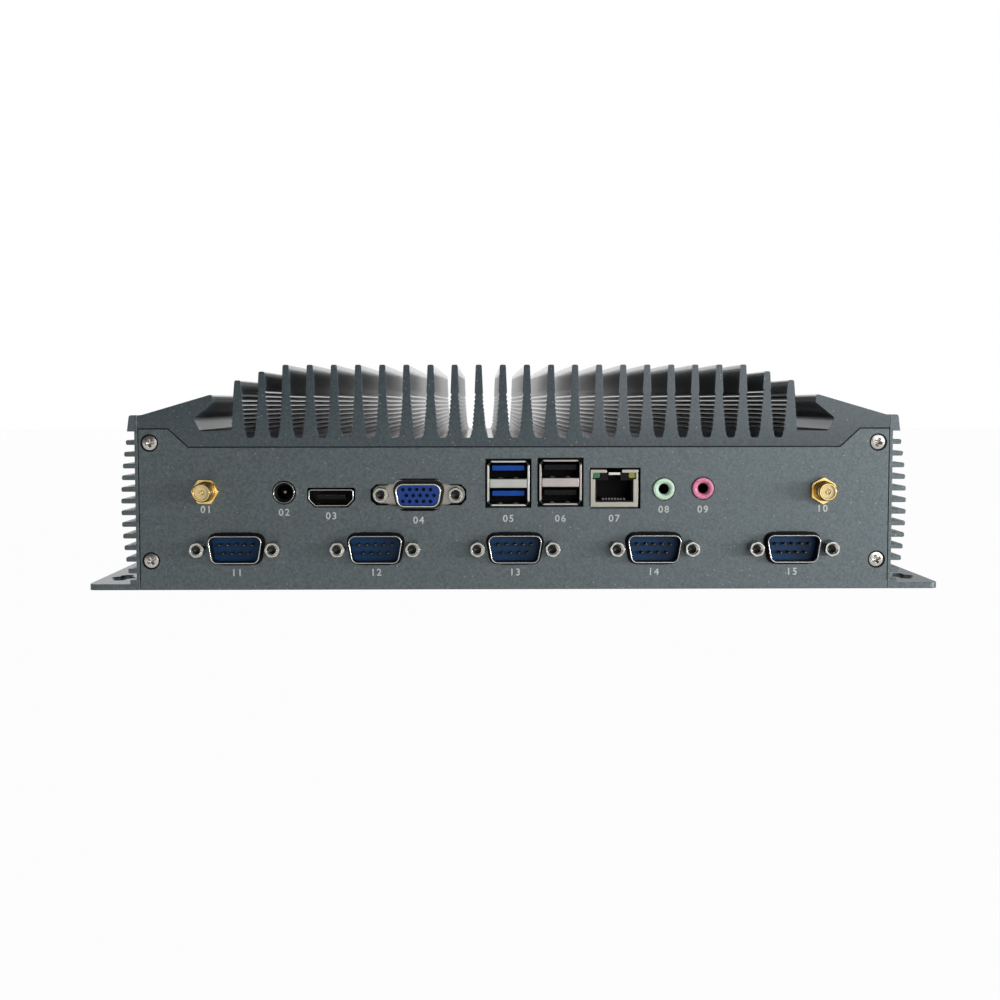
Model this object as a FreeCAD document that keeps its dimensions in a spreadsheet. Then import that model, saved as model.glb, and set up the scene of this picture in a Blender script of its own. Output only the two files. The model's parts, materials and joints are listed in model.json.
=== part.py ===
"""Fanless industrial computer: finned extrusions round a base plate and two end panels.

The boards and the parts on them are inside, each socket standing on the board that carries it.

Frame: millimetres, origin at the middle of the base plate's underside, +Z up, +X along the width.
The socket panel faces -Y and the button panel faces +Y.
"""

import FreeCAD, Part
import math
import os
import re

import Sketcher
from FreeCAD import Placement, Rotation, Vector

# Driving dimensions in millimetres (counts and plain factors have no unit).
SIZES = {
    # whole case
    "depth": 190,
    "panel_thick": 2,
    "panel_half_width": 125.1,
    "panel_top": 47.6,
    "tab_top": 53.7,
    "tab_inner": 115.3,
    "tab_foot": 108.8,
    # top heat sink, right half; the left half mirrors it
    "sink_underside": 47.8,
    "shoulder_inner": 108.6,
    "shoulder_outer": 115.1,
    "wing_underside": 53.9,
    "wing_half_width": 125.2,
    "wing_top": 58.1,
    "lip_across": 100.35,
    "lip_top": 65.4,
    "lip_bottom": 62.5,
    "lip_round": 0.8,
    "notch_across": 106.7,
    "notch_up": 57.4,
    "floor_across": 104.6,
    "floor_up": 53.1,
    "floor_round": 1,
    "tongue_across": 117.5,
    "tongue_width": 2,
    "tongue_deep": 1,
    # fins of the top heat sink
    "fin_overlap": 0.4,
    "fin_pitch": 8,
    "tall_fins": 20,
    "fin_root_up": 50.8,
    "fin_flare_half": 3.05,
    "fin_foot_half": 2.5,
    "fin_foot_up": 51.8,
    "fin_waist_half": 1.45,
    "fin_waist_up": 64.8,
    "fin_tip_half": 1,
    "fin_tip_chamfer": 0.45,
    "tall_fin_top": 75.05,
    "second_fin_top": 72.8,
    "end_fin_top": 69.9,
    # side heat sinks
    "wall_inner": 122.6,
    "wall_outer": 126.4,
    "wall_edge": 125.35,
    "foot_across": 128.6,
    "foot_top": 3.4,
    "side_fins": 12,
    "side_fin_first_up": 6.45,
    "side_fin_pitch": 3.9,
    "side_fin_thick": 1.6,
    "side_fin_chamfer": 0.35,
    "side_tip_across": 131.1,
    "side_tip_level": 28,
    "side_tip_bow": 240,
    "head_bottom": 53,
    "head_top": 58.4,
    "head_across_low": 128.8,
    "head_across_high": 128.1,
    "head_round": 0.8,
    "ledge_inner": 115.4,
    "ledge_thick": 2,
    "boss_inner": 118.7,
    "boss_half": 2.8,
    "flange_inner": 112,
    "flange_thick": 3,
    # case screws: two levels in each panel, and the base
    "screw_across": 121.5,
    "screw_low_up": 9.85,
    "screw_high_up": 49.2,
    "screw_head_radius": 2.5,
    "screw_shank_radius": 1.3,
    "screw_sink": 0.35,
    "panel_screw_end": 8,
    "base_screw_end": 5,
    "sink_radius": 2.85,
    "screw_hole_radius": 1.6,
    "base_screw_across": 116,
    "base_screw_along": 60,
    # base plate with mounting ears
    "plate_thick": 2,
    "ear_half_width": 142.5,
    "ear_round": 2.5,
    "keyhole_across": 135.4,
    "keyhole_from_end": 18,
    "keyhole_radius": 4,
    "slot_length": 16,
    "slot_radius": 2.1,
    # boards
    "board_half_width": 85,
    "board_front": -91.4,
    "board_length": 170,
    "board_underside": 25.7,
    "board_top": 27.3,
    "serial_board_half_width": 110,
    "serial_board_front": -91.5,
    "serial_board_back": -60,
    "serial_board_underside": 5,
    "serial_board_top": 6.6,
    "standoff_across_flats": 5.5,
    "standoff_across": 78.7,
    "standoff_front": -55.5,
    "standoff_back": 73,
    "board_screw_flats": 5,
    "board_screw_head": 2,
    # D-shaped sockets
    "d_slope": 10,
    "jackscrew_half_spacing": 12.495,
    "jackscrew_flats": 4.76,
    "jackscrew_length": 5,
    "jackscrew_bore": 1.2,
    "jackscrew_shank": 1.4,
    # serial sockets
    "serial_sockets": 5,
    "serial_pitch": 46.5,
    "serial_up": 13.8,
    "serial_shell_width": 17.9,
    "serial_shell_height": 9.3,
    "serial_shell_round": 3.1,
    "serial_wall": 0.48,
    "serial_proud": 4,
    "serial_flange_width": 30.8,
    "serial_flange_height": 12.5,
    "serial_flange_thick": 1,
    "serial_cutout_gap": 0.85,
    "serial_insert_recess": 1.5,
    "serial_block_half": 8.8,
    "serial_block_end": 13,
    "pin_radius": 0.51,
    "pin_proud": 3.8,
    "pin_pitch": 2.77,
    "pin_row_half": 1.42,
    # analog video socket
    "analog_across": -32.2,
    "analog_up": 31.8,
    "analog_flange_front": 2.4,
    "analog_flange_thick": 1,
    "analog_flange_width": 17.3,
    "analog_flange_height": 9.8,
    "analog_lug_radius": 3,
    "analog_lug_cut": 1.8,
    "analog_shell_width": 16.33,
    "analog_shell_height": 7.9,
    "analog_shell_round": 2.6,
    "analog_wall": 0.7,
    "analog_proud": 3.4,
    "analog_cutout_gap": 0.5,
    "analog_hole_radius": 0.575,
    "analog_hole_pitch": 2.29,
    "analog_row_pitch": 1.98,
    # digital video socket
    "digital_across": -61.3,
    "digital_up": 30.9,
    "digital_half_width": 7.5,
    "digital_half_height": 2.8,
    "digital_wall": 0.45,
    "digital_corner": 0.4,
    "digital_cut": 2.2,
    "digital_depth": 11,
    "digital_block_front": 8,
    "digital_tongue_half_width": 4.8,
    "digital_tongue_bottom": -0.6,
    "digital_tongue_top": 0.8,
    "digital_gap": 0.5,
    # shells of the flat sockets
    "shell_proud": 0.4,
    "leg_near": 4,
    "leg_far": 7,
    "leg_thick": 0.6,
    # stacked data sockets
    "data_a_across": -2.2,
    "data_a_up": 35.6,
    "data_b_across": 15.2,
    "data_b_up": 35.9,
    "data_half_width": 7.1,
    "data_half_height": 7.6,
    "data_corner": 1.4,
    "data_mouth_half_width": 6.25,
    "data_mouth_height": 5.25,
    "data_bar": 3.2,
    "data_depth": 17,
    "data_block_front": 9.5,
    "data_tongue_recess": 0.6,
    "data_gap": 0.6,
    "data_tongue_half_width": 5.35,
    "data_tongue_thick": 1.6,
    "data_tongue_lift": 0.85,
    # network jack
    "network_across": 33.2,
    "network_up": 33.9,
    "network_half_width": 7.9,
    "network_half_height": 6.2,
    "network_gap": 0.6,
    "network_depth": 16,
    "plug_half_width": 6.4,
    "plug_bottom": -4.6,
    "plug_top": 3.1,
    "plug_depth": 13,
    "housing_recess": 0.4,
    "housing_wall": 0.5,
    "lamp_row_half_width": 7.3,
    "lamp_row_bottom": 3,
    "lamp_row_top": 5.2,
    "latch_half_width": 2.6,
    "latch_top": 6.5,
    "lamp_across": 6.05,
    "lamp_half_width": 1.2,
    "lamp_depth": 3,
    "contact_pitch": 1.02,
    "contact_half": 0.23,
    "contact_thick": 0.6,
    # audio jacks
    "line_across": 49.8,
    "line_up": 33.6,
    "microphone_across": 62.9,
    "microphone_up": 33.8,
    "audio_nozzle_radius": 3.6,
    "audio_hole_radius": 3.85,
    "audio_bore_radius": 1.8,
    "audio_bore_depth": 14,
    "audio_half_width": 5.3,
    "audio_proud": 0.6,
    # power jack
    "power_across": -77,
    "power_up": 32.6,
    "power_sleeve_radius": 4,
    "power_bore_radius": 3.1,
    "power_pin_radius": 1,
    "power_hole_radius": 4.5,
    "power_depth": 12,
    "power_half_width": 5,
    # antenna jacks
    "antenna_across": 103,
    "antenna_up": 33,
    "antenna_radius": 3.175,
    "antenna_neck_radius": 2.8,
    "antenna_hole_radius": 3.3,
    "antenna_proud": 8,
    "antenna_flats": 8,
    "antenna_nut_thick": 2,
    "antenna_core_radius": 2.1,
    "antenna_core_recess": 0.5,
    "antenna_contact_radius": 0.64,
    # power button
    "button_across": 100,
    "button_up": 27,
    "button_radius": 4,
    "button_hole_radius": 4.2,
    "button_proud": 1.6,
    "button_flange_half": 5,
    "button_flange_thick": 1.5,
    "button_travel": 1.5,
    "switch_half": 7.5,
    "switch_end": 16,
}

LEFT = -1
RIGHT = 1
# How many flats stand for a corner's arc in a D outline, and for a circle where nothing is mounted.
D_FACETS = 3
ROUND = 16
TAPER = 12

doc = FreeCAD.newDocument("fanless_computer")
sizes = doc.addObject("Spreadsheet::Sheet", "sizes")
for line, (alias, number) in enumerate(SIZES.items(), start=1):
    sizes.set(f"A{line}", alias)
    sizes.set(f"B{line}", str(number))
    sizes.setAlias(f"B{line}", alias)
doc.recompute()

pieces = []


# ---------------------------------------------------------------- expressions

def value(expression):
    """The number that an expression in the sheet's aliases stands for."""
    return float(sizes.evalExpression(str(expression)))


def bind(thing, name, expression):
    """Ties a property or constraint to the sheet."""
    def from_sheet(word):
        return f"sizes.{word[0]}" if word[0] in SIZES else word[0]

    thing.setExpression(name, re.sub(r"[a-z]\w*", from_sheet, str(expression)))


# ---------------------------------------------------------------- sketches

# A rule is a constraint and the expression that drives it, or None for a plain geometric one.

def driven(kind, expression, *where):
    return Sketcher.Constraint(kind, *where, value(expression)), expression


def plain(kind, *where):
    return Sketcher.Constraint(kind, *where), None


def located(geometry, point, across, up):
    """Rules that hold a point of the sketch at a place measured from its origin."""
    return [driven("DistanceX", across, -1, 1, geometry, point),
            driven("DistanceY", up, -1, 1, geometry, point)]


def circle(across, up, radius):
    def draw(sketch):
        centre = Vector(value(across), value(up), 0)
        number = sketch.addGeometry(Part.Circle(centre, Vector(0, 0, 1), value(radius)))
        return [*located(number, 3, across, up), driven("Radius", radius, number)]
    return draw


def outline(corners):
    """A closed outline through corners (across, up) or (across, up, radius); a radius makes a tangent arc."""
    def draw(sketch):
        points = [Vector(value(corner[0]), value(corner[1]), 0) for corner in corners]
        radii = [value(corner[2]) if len(corner) > 2 else 0 for corner in corners]
        count = len(corners)
        arrive, leave = [], []
        for i, point in enumerate(points):
            back = (points[i - 1] - point).normalize()
            ahead = (points[(i + 1) % count] - point).normalize()
            trim = radii[i] / math.tan(back.getAngle(ahead) / 2) if radii[i] else 0
            arrive.append(point + back * trim)
            leave.append(point + ahead * trim)
        lines = sketch.addGeometry([Part.LineSegment(leave[i], arrive[(i + 1) % count])
                                    for i in range(count)])
        rules = []
        for i, corner in enumerate(corners):
            if radii[i]:
                rules += round_corner(sketch, lines[i - 1], lines[i], corner,
                                      (arrive[i], points[i], leave[i]))
            else:
                rules.append(plain("Coincident", lines[i - 1], 2, lines[i], 1))
                rules += located(lines[i], 1, corner[0], corner[1])
        return rules
    return draw


def round_corner(sketch, incoming, outgoing, corner, places):
    """Joins two lines by a tangent arc; the sharp corner stays as a construction point on both."""
    arrive, point, leave = places
    radius = value(corner[2])
    away = ((arrive - point) + (leave - point)).normalize()
    centre = point + away * math.hypot(radius, (arrive - point).Length)
    turns_left = (point - arrive).cross(leave - point).z > 0
    first, last = (arrive, leave) if turns_left else (leave, arrive)
    begin = math.atan2(first.y - centre.y, first.x - centre.x)
    end = math.atan2(last.y - centre.y, last.x - centre.x)
    if end < begin:
        end += 2 * math.pi
    arc = sketch.addGeometry(Part.ArcOfCircle(Part.Circle(centre, Vector(0, 0, 1), radius), begin, end))
    mark = sketch.addGeometry(Part.Point(point), True)
    arc_in, arc_out = (1, 2) if turns_left else (2, 1)
    return [plain("Tangent", incoming, 2, arc, arc_in), plain("Tangent", arc, arc_out, outgoing, 1),
            plain("PointOnObject", mark, 1, incoming), plain("PointOnObject", mark, 1, outgoing),
            driven("Radius", corner[2], arc), *located(mark, 1, corner[0], corner[1])]


def rectangle(left, right, bottom, top):
    return outline([(left, bottom), (right, bottom), (right, top), (left, top)])


def chamfered(half_width, half_height, corner, across=0, up=0):
    """A rectangle about (across, up) with its four corners cut at 45 degrees."""
    cut = [(f"({half_width}) - ({corner})", half_height), (half_width, f"({half_height}) - ({corner})")]
    around = [(1, 1, cut), (1, -1, cut[::-1]), (-1, -1, cut), (-1, 1, cut[::-1])]
    return outline([(f"{across} + {right} * ({x})", f"{up} + {upper} * ({y})")
                    for right, upper, ends in around for x, y in ends])


def polygon(sides, across_flats, across=0, up=0, turn=0):
    """A regular polygon about (across, up) with the given distance across its flats."""
    corner = f"({across_flats}) / 2 / cos({180 / sides} deg)"
    angles = [turn + 360 * i / sides for i in range(sides)]
    return outline([(f"{across} + {corner} * cos({angle} deg)", f"{up} + {corner} * sin({angle} deg)")
                    for angle in angles])


def d_shape(width, height, radius, across=0, up=0):
    """The D outline of these sockets: width along its wide upper side, both ends sloping in by d_slope.

    Each corner is rounded in D_FACETS flats, whose ends lie on an arc of the radius given.
    """
    wide = f"({width}) / 2 - ({radius}) / tan((45 - d_slope / 2) * 1 deg)"
    foot = f"({width}) / 2 - ({height}) * tan(d_slope * 1 deg)"
    narrow = f"{foot} - ({radius}) / tan((45 + d_slope / 2) * 1 deg)"
    half = f"(({height}) / 2 - ({radius}))"
    upper = [f"90 - (90 + d_slope) * {step / D_FACETS}" for step in range(D_FACETS + 1)]
    lower = [f"-d_slope - (90 - d_slope) * {step / D_FACETS}" for step in range(D_FACETS + 1)]
    right = [(f"({centre} + ({radius}) * cos(({angle}) * 1 deg))",
              f"{sign} {half} + ({radius}) * sin(({angle}) * 1 deg)")
             for centre, sign, angles in ((wide, "+", upper), (narrow, "-", lower)) for angle in angles]
    both = right + [(f"-{x}", z) for x, z in reversed(right)]
    return outline([(f"{across} + {x}", f"{up} {z}") for x, z in both])


def slot(half_length, radius, across=0, up=0, upright=False):
    """An outline with two round ends, half_length from its middle to each end's centre."""
    def draw(sketch):
        x, y, reach, size = value(across), value(up), value(half_length), value(radius)
        begin = math.pi / 2 if upright else 0
        axis = Vector(0, 1, 0) if upright else Vector(1, 0, 0)
        side = Vector(-axis.y, axis.x, 0) * size
        middle = Vector(x, y, 0)
        ends = []
        for sign, turn in ((1, -math.pi / 2), (-1, math.pi / 2)):
            rim = Part.Circle(middle + axis * reach * sign, Vector(0, 0, 1), size)
            ends.append(sketch.addGeometry(Part.ArcOfCircle(rim, begin + turn, begin + turn + math.pi)))
        along = axis * reach
        far = sketch.addGeometry(Part.LineSegment(middle + along + side, middle - along + side))
        near = sketch.addGeometry(Part.LineSegment(middle - along - side, middle + along - side))
        joints = ((ends[0], 2, far, 1), (far, 2, ends[1], 1),
                  (ends[1], 2, near, 1), (near, 2, ends[0], 1))
        rules = [plain("Tangent", *joint) for joint in joints]
        rules.append(driven("Radius", radius, ends[0]))
        for number, sign in ((ends[0], "+"), (ends[1], "-")):
            away = f"{sign} ({half_length})"
            centre = (across, f"{up} {away}") if upright else (f"{across} {away}", up)
            rules += located(number, 3, *centre)
        return rules
    return draw


# ---------------------------------------------------------------- solids

def origin_feature(body, role):
    return next(feature for feature in body.Origin.OriginFeatures if feature.Role == role)


def new_body(label, several=False):
    body = doc.addObject("PartDesign::Body", label)
    body.AllowCompound = several
    return body


def sketch_in(body, plane, offset, drawings):
    sketch = body.newObject("Sketcher::SketchObject", f"{body.Name}_sketch")
    sketch.AttachmentSupport = (origin_feature(body, plane), [""])
    sketch.MapMode = "FlatFace"
    bind(sketch, "AttachmentOffset.Base.z", offset)
    rules = [rule for draw in drawings for rule in draw(sketch)]
    numbers = sketch.addConstraint([constraint for constraint, _ in rules])
    for number, (_, expression) in zip(numbers, rules):
        if expression is not None:
            bind(sketch, f"Constraints[{number}]", expression)
    return sketch


def pad(body, near, far, *drawings):
    """Adds the outlines' extrusion along Y, from near to far, measured inwards from the face of the panel."""
    feature_sketch = sketch_in(body, "XZ_Plane", f"-({far})", drawings)
    return finish(body, "PartDesign::Pad", feature_sketch, f"({far}) - ({near})")


def pocket(body, near, far, *drawings):
    """Cuts the outlines along Y, from near to far."""
    feature_sketch = sketch_in(body, "XZ_Plane", f"-({near})", drawings)
    return finish(body, "PartDesign::Pocket", feature_sketch, f"({far}) - ({near})")


def pad_up(body, low, high, *drawings):
    """Adds the outlines' extrusion along Z; the outlines lie across X and along Y."""
    feature_sketch = sketch_in(body, "XY_Plane", low, drawings)
    return finish(body, "PartDesign::Pad", feature_sketch, f"({high}) - ({low})")


def pocket_down(body, low, high, *drawings):
    """Cuts the outlines along Z, from low to high."""
    feature_sketch = sketch_in(body, "XY_Plane", high, drawings)
    return finish(body, "PartDesign::Pocket", feature_sketch, f"({high}) - ({low})")


def finish(body, kind, profile, length):
    feature = body.newObject(kind, f"{body.Name}_{kind.split('::')[1].lower()}")
    feature.Profile = profile
    bind(feature, "Length", length)
    body.Tip = feature
    return feature


def row(body, feature, pitch, count):
    """Repeats a feature along X."""
    pattern = body.newObject("PartDesign::LinearPattern", f"{body.Name}_row")
    pattern.Originals = [feature]
    pattern.Direction = (origin_feature(body, "X_Axis"), [""])
    bind(pattern, "Length", f"{pitch} * ({count} - 1)")
    bind(pattern, "Occurrences", count)
    body.Tip = pattern
    return pattern


def place(thing, across, along, up):
    bind(thing, "Placement.Base.x", across)
    bind(thing, "Placement.Base.y", along)
    bind(thing, "Placement.Base.z", up)
    return thing


def on_front_panel(thing, across, up):
    return place(thing, across, "-depth / 2", up)


def keep(thing, label):
    """Marks a finished object as a piece of the product, under the name of its file."""
    thing.Label = label
    pieces.append(thing)
    return thing


def primitive(kind, name, across, along, up, rotation=None, **lengths):
    made = doc.addObject(f"Part::{kind}", name)
    if rotation:
        made.Placement = Placement(Vector(), rotation)
    place(made, across, along, up)
    for property_name, expression in lengths.items():
        bind(made, property_name, expression)
    return made


def block(name, left, right, front, back, bottom, top):
    return primitive("Box", name, left, front, bottom, Length=f"({right}) - ({left})",
                     Width=f"({back}) - ({front})", Height=f"({top}) - ({bottom})")


def together(kind, name, things):
    made = doc.addObject(f"Part::{kind}", name)
    setattr(made, "Links" if kind == "Compound" else "Shapes", things)
    return made


def minus(base, tool, name):
    made = doc.addObject("Part::Cut", name)
    made.Base, made.Tool = base, tool
    return made


INWARD = {"front": Rotation(Vector(1, 0, 0), -90), "back": Rotation(Vector(1, 0, 0), 90), "base": Rotation()}


def step_in(face, across, along, up, depth):
    """The place a given depth behind a point of the front panel, the back panel or the underside."""
    return {"front": (across, f"{along} + {depth}", up),
            "back": (across, f"{along} - ({depth})", up),
            "base": (across, along, f"{up} + {depth}")}[face]


# ---------------------------------------------------------------- extrusions and plates

# The stretches at both ends of the extrusions where the panels sit.
PANEL_SEATS = [("-depth / 2", "panel_thick - depth / 2"), ("depth / 2 - panel_thick", "depth / 2")]


def fin_corners(middle, top):
    """One fin of the top heat sink: flared foot, tapering flanks with a waist, chamfered tip."""
    right = [("fin_flare_half", "fin_root_up - fin_overlap"), ("fin_flare_half", "fin_root_up"),
             ("fin_foot_half", "fin_foot_up"), ("fin_waist_half", "fin_waist_up"),
             ("fin_tip_half", f"{top} - fin_tip_chamfer"),
             ("(fin_tip_half - fin_tip_chamfer)", top)]
    left = [(f"-{across}", up) for across, up in reversed(right)]
    return [(f"{middle} + {across}", up) for across, up in right + left]


def top_heatsink():
    body = new_body("top_heatsink")
    right = [("shoulder_inner", "sink_underside"), ("shoulder_outer", "wing_underside"),
             ("tongue_across - tongue_width / 2", "wing_underside"),
             ("tongue_across - tongue_width / 2", "wing_underside - tongue_deep"),
             ("tongue_across + tongue_width / 2", "wing_underside - tongue_deep"),
             ("tongue_across + tongue_width / 2", "wing_underside"),
             ("wing_half_width", "wing_underside"), ("wing_half_width", "wing_top"),
             ("lip_across", "lip_top", "lip_round"), ("lip_across", "lip_bottom", "lip_round / 2"),
             ("notch_across", "notch_up"), ("floor_across", "floor_up", "floor_round"),
             ("fin_pitch * 11.5", "floor_up"), ("fin_pitch * 11.5", "fin_root_up")]
    left = [(f"-({corner[0]})", *corner[1:]) for corner in reversed(right)]
    ends = "-depth / 2", "depth / 2"
    pad(body, *ends, outline(right + left))
    end_fins = [pad(body, *ends, outline(fin_corners("fin_pitch * 11.5", "end_fin_top"))),
                pad(body, *ends, outline(fin_corners("fin_pitch * 10.5", "second_fin_top")))]
    mirrored = body.newObject("PartDesign::Mirrored", "other_end_fins")
    mirrored.Originals = end_fins
    mirrored.MirrorPlane = (origin_feature(body, "YZ_Plane"), [""])
    body.Tip = mirrored
    first = pad(body, *ends, outline(fin_corners("-fin_pitch * (tall_fins - 1) / 2", "tall_fin_top")))
    row(body, first, "fin_pitch", "tall_fins")
    tongues = [(f"{side} * tongue_across - tongue_width / 2", f"{side} * tongue_across + tongue_width / 2")
               for side in (LEFT, RIGHT)]
    for near, far in PANEL_SEATS:
        pocket(body, near, far, *[rectangle(*across, "wing_underside - 2 * tongue_deep", "wing_underside")
                                  for across in tongues])
    keep(body, "top_heatsink")


def side_heatsink(label, side):
    """Side wall: fins whose tips follow a shallow bow, a head beside the wing, screw bosses inside."""
    body = new_body(label)
    groove = "tongue_across - tongue_width / 2 - 0.1", "tongue_across + tongue_width / 2 + 0.1"
    high_boss = "screw_high_up - boss_half"
    low_boss = "screw_low_up - boss_half", "screw_low_up + boss_half"
    corners = [("flange_inner", "plate_thick"), ("foot_across", "plate_thick"), ("foot_across", "foot_top"),
               ("wall_outer", "foot_top"), ("wall_outer", "head_bottom"),
               ("head_across_low", "head_bottom"), ("head_across_high", "head_top", "head_round"),
               ("wall_edge", "head_top"), ("wall_edge", "wing_underside"),
               (groove[1], "wing_underside"), (groove[1], "wing_underside - tongue_deep - 0.1"),
               (groove[0], "wing_underside - tongue_deep - 0.1"), (groove[0], "wing_underside"),
               ("ledge_inner", "wing_underside"), ("ledge_inner", "wing_underside - ledge_thick"),
               ("boss_inner", "wing_underside - ledge_thick"), ("boss_inner", high_boss),
               ("wall_inner", high_boss), ("wall_inner", low_boss[1]), ("boss_inner", low_boss[1]),
               ("boss_inner", low_boss[0]), ("wall_inner", low_boss[0]),
               ("wall_inner", "plate_thick + flange_thick"), ("flange_inner", "plate_thick + flange_thick")]
    placed = [(f"{side} * ({corner[0]})", *corner[1:]) for corner in corners]
    pad(body, "-depth / 2", "depth / 2", outline(placed),
        *[screw_channel(f"{side} * screw_across", up) for up in ("screw_low_up", "screw_high_up")])
    for number in range(SIZES["side_fins"]):
        level = f"side_fin_first_up + {number} * side_fin_pitch"
        tip = f"{side} * (side_tip_across - ({level} - side_tip_level)^2 / side_tip_bow)"
        low, high = f"{level} - side_fin_thick / 2", f"{level} + side_fin_thick / 2"
        near_tip = f"{tip} - {side} * side_fin_chamfer"
        root = f"{side} * (wall_outer - fin_overlap)"
        pad(body, "-depth / 2", "depth / 2",
            outline([(root, low), (near_tip, low), (tip, f"{low} + side_fin_chamfer"),
                     (tip, f"{high} - side_fin_chamfer"), (near_tip, high), (root, high)]))
    seat = sorted((f"{side} * (flange_inner - 1)", f"{side} * wall_edge"), key=value)
    for near, far in PANEL_SEATS:
        pocket(body, near, far, rectangle(*seat, "plate_thick - 1", "wing_underside + 1"))
    pocket_down(body, "plate_thick", "plate_thick + flange_thick",
                *[screw_channel(f"{side} * base_screw_across", along)
                  for along in ("-base_screw_along", "base_screw_along")])
    keep(body, label)


def base_plate():
    """Flat plate with an ear along each side; each ear has two keyholes whose slots run both ways."""
    body = new_body("plate_blank")
    corner = [("ear_half_width", "depth / 2", "ear_round"), ("wall_edge", "depth / 2"),
              ("wall_edge", "depth / 2 - panel_thick")]
    around = [(RIGHT, 1, corner), (LEFT, 1, corner[::-1]), (LEFT, -1, corner), (RIGHT, -1, corner[::-1])]
    corners = [(f"{side} * {x}", f"{end} * ({y})", *r)
               for side, end, quarter in around for x, y, *r in quarter]
    pad_up(body, 0, "plate_thick", outline(corners))
    for x in ("-keyhole_across", "keyhole_across"):
        for y in ("keyhole_from_end - depth / 2", "depth / 2 - keyhole_from_end"):
            pocket_down(body, 0, "plate_thick", polygon(ROUND, "2 * keyhole_radius", x, y))
            pocket_down(body, 0, "plate_thick",
                        slot("slot_length / 2 - slot_radius", "slot_radius", x, y, upright=True))
    places = [(f"{side} * base_screw_across", f"{end} * base_screw_along", "0") for side in (LEFT, RIGHT)
              for end in (-1, 1)]
    keep(minus(body, countersinks("base", places), "plate_with_holes"), "base_plate")
    keep(together("Compound", "base_screw_set", [countersunk_screw("base", spot, "base_screw_end")
                                                 for spot in places]), "base_screws")


def taper(name, face, spot, near, far, wide, narrow):
    """A many-sided taper, from a wide end at one depth behind the face to a narrow one at another."""
    ends = [primitive("RegularPolygon", f"{name}_end", *step_in(face, *spot, depth), INWARD[face],
                      Circumradius=radius) for depth, radius in ((near, wide), (far, narrow))]
    for end in ends:
        end.Polygon = TAPER
    made = doc.addObject("Part::Loft", name)
    made.Sections = ends
    made.Solid = True
    made.Ruled = True
    return made


def countersunk_screw(face, spot, end):
    """A countersunk screw, a little below the face that it holds, with a six-sided rod for its thread."""
    throat = "(screw_sink + screw_head_radius - screw_shank_radius)"
    head = taper("screw_head", face, spot, "screw_sink", throat, "screw_head_radius", "screw_shank_radius")
    shank = primitive("Prism", "screw_shank", *step_in(face, *spot, throat), INWARD[face],
                      Circumradius="screw_shank_radius", Height=f"{end} - {throat}")
    return together("MultiFuse", "countersunk_screw", [head, shank])


def screw_channel(across, up):
    """The six-sided channel that a case screw's rod fills."""
    return polygon(6, "2 * screw_shank_radius * cos(30 deg)", across, up)


def countersinks(face, places):
    """Tapered through holes, for countersunk screws, in a plate as thick as the panels."""
    return together("Compound", "sink_tools",
                    [taper("sink", face, spot, "0", "panel_thick", "sink_radius", "screw_hole_radius")
                     for spot in places])


def panel_outline():
    """A panel's outline: straight foot and sides, and a tab up each side beside the top heat sink."""
    right = [("panel_half_width", "0"), ("panel_half_width", "tab_top"), ("tab_inner", "tab_top"),
             ("tab_foot", "panel_top")]
    return outline(right + [(f"-{x}", z) for x, z in reversed(right)])


def screw_places(along):
    return [(f"{side} * screw_across", along, up)
            for side in (LEFT, RIGHT) for up in ("screw_low_up", "screw_high_up")]


def front_panel():
    body = on_front_panel(new_body("front_blank"), 0, 0)
    pad(body, 0, "panel_thick", panel_outline())

    def cut(*drawings):
        pocket(body, 0, "panel_thick", *drawings)

    gap = "2 * serial_cutout_gap"
    for across in serial_places():
        cut(d_shape(f"serial_shell_width + {gap}", f"serial_shell_height + {gap}",
                    "serial_shell_round + serial_cutout_gap", across, "serial_up"))
        cut(*[polygon(6, "2 * jackscrew_shank", f"{across} {side} jackscrew_half_spacing", "serial_up")
              for side in ("-", "+")])
    cut(d_shape("analog_flange_width + 2 * analog_cutout_gap",
                "analog_flange_height + 2 * analog_cutout_gap",
                "analog_shell_round + analog_cutout_gap", "analog_across", "analog_up"))
    cut(lugs("analog_cutout_gap", "analog_across", "analog_up"))
    cut(digital_outline("digital_gap", "digital_across", "digital_up"))
    for socket in ("data_a", "data_b"):
        cut(rectangle(f"{socket}_across - data_half_width - data_gap",
                      f"{socket}_across + data_half_width + data_gap",
                      f"{socket}_up - data_half_height - data_gap",
                      f"{socket}_up + data_half_height + data_gap"))
    cut(rectangle("network_across - network_half_width - network_gap / 2",
                  "network_across + network_half_width + network_gap * 1.5",
                  "network_up - network_half_height - network_gap",
                  "network_up + network_half_height + network_gap"))
    cut(polygon(ROUND, "2 * power_hole_radius", "power_across", "power_up"),
        polygon(ROUND, "2 * audio_hole_radius", "line_across", "line_up"),
        polygon(ROUND, "2 * audio_hole_radius", "microphone_across", "microphone_up"),
        *[polygon(TAPER, "2 * antenna_hole_radius", f"{side} * antenna_across", "antenna_up")
          for side in (LEFT, RIGHT)])
    sinks = countersinks("front", screw_places("-depth / 2"))
    keep(minus(body, sinks, "front_with_sinks"), "front_panel")


def rear_panel():
    body = new_body("rear_blank")
    pad(body, "depth / 2 - panel_thick", "depth / 2", panel_outline())
    pocket(body, "depth / 2 - panel_thick", "depth / 2",
           circle("button_across", "button_up", "button_hole_radius"))
    sinks = countersinks("back", screw_places("depth / 2"))
    keep(minus(body, sinks, "rear_with_sinks"), "rear_panel")


def panel_screws():
    screws = [countersunk_screw(face, spot, "panel_screw_end")
              for face, along in (("front", "-depth / 2"), ("back", "depth / 2"))
              for spot in screw_places(along)]
    keep(together("Compound", "panel_screw_set", screws), "panel_screws")


# ---------------------------------------------------------------- D-shaped sockets

def serial_places():
    middle = (SIZES["serial_sockets"] - 1) / 2
    return [f"{number - middle} * serial_pitch" for number in range(SIZES["serial_sockets"])]


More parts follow.
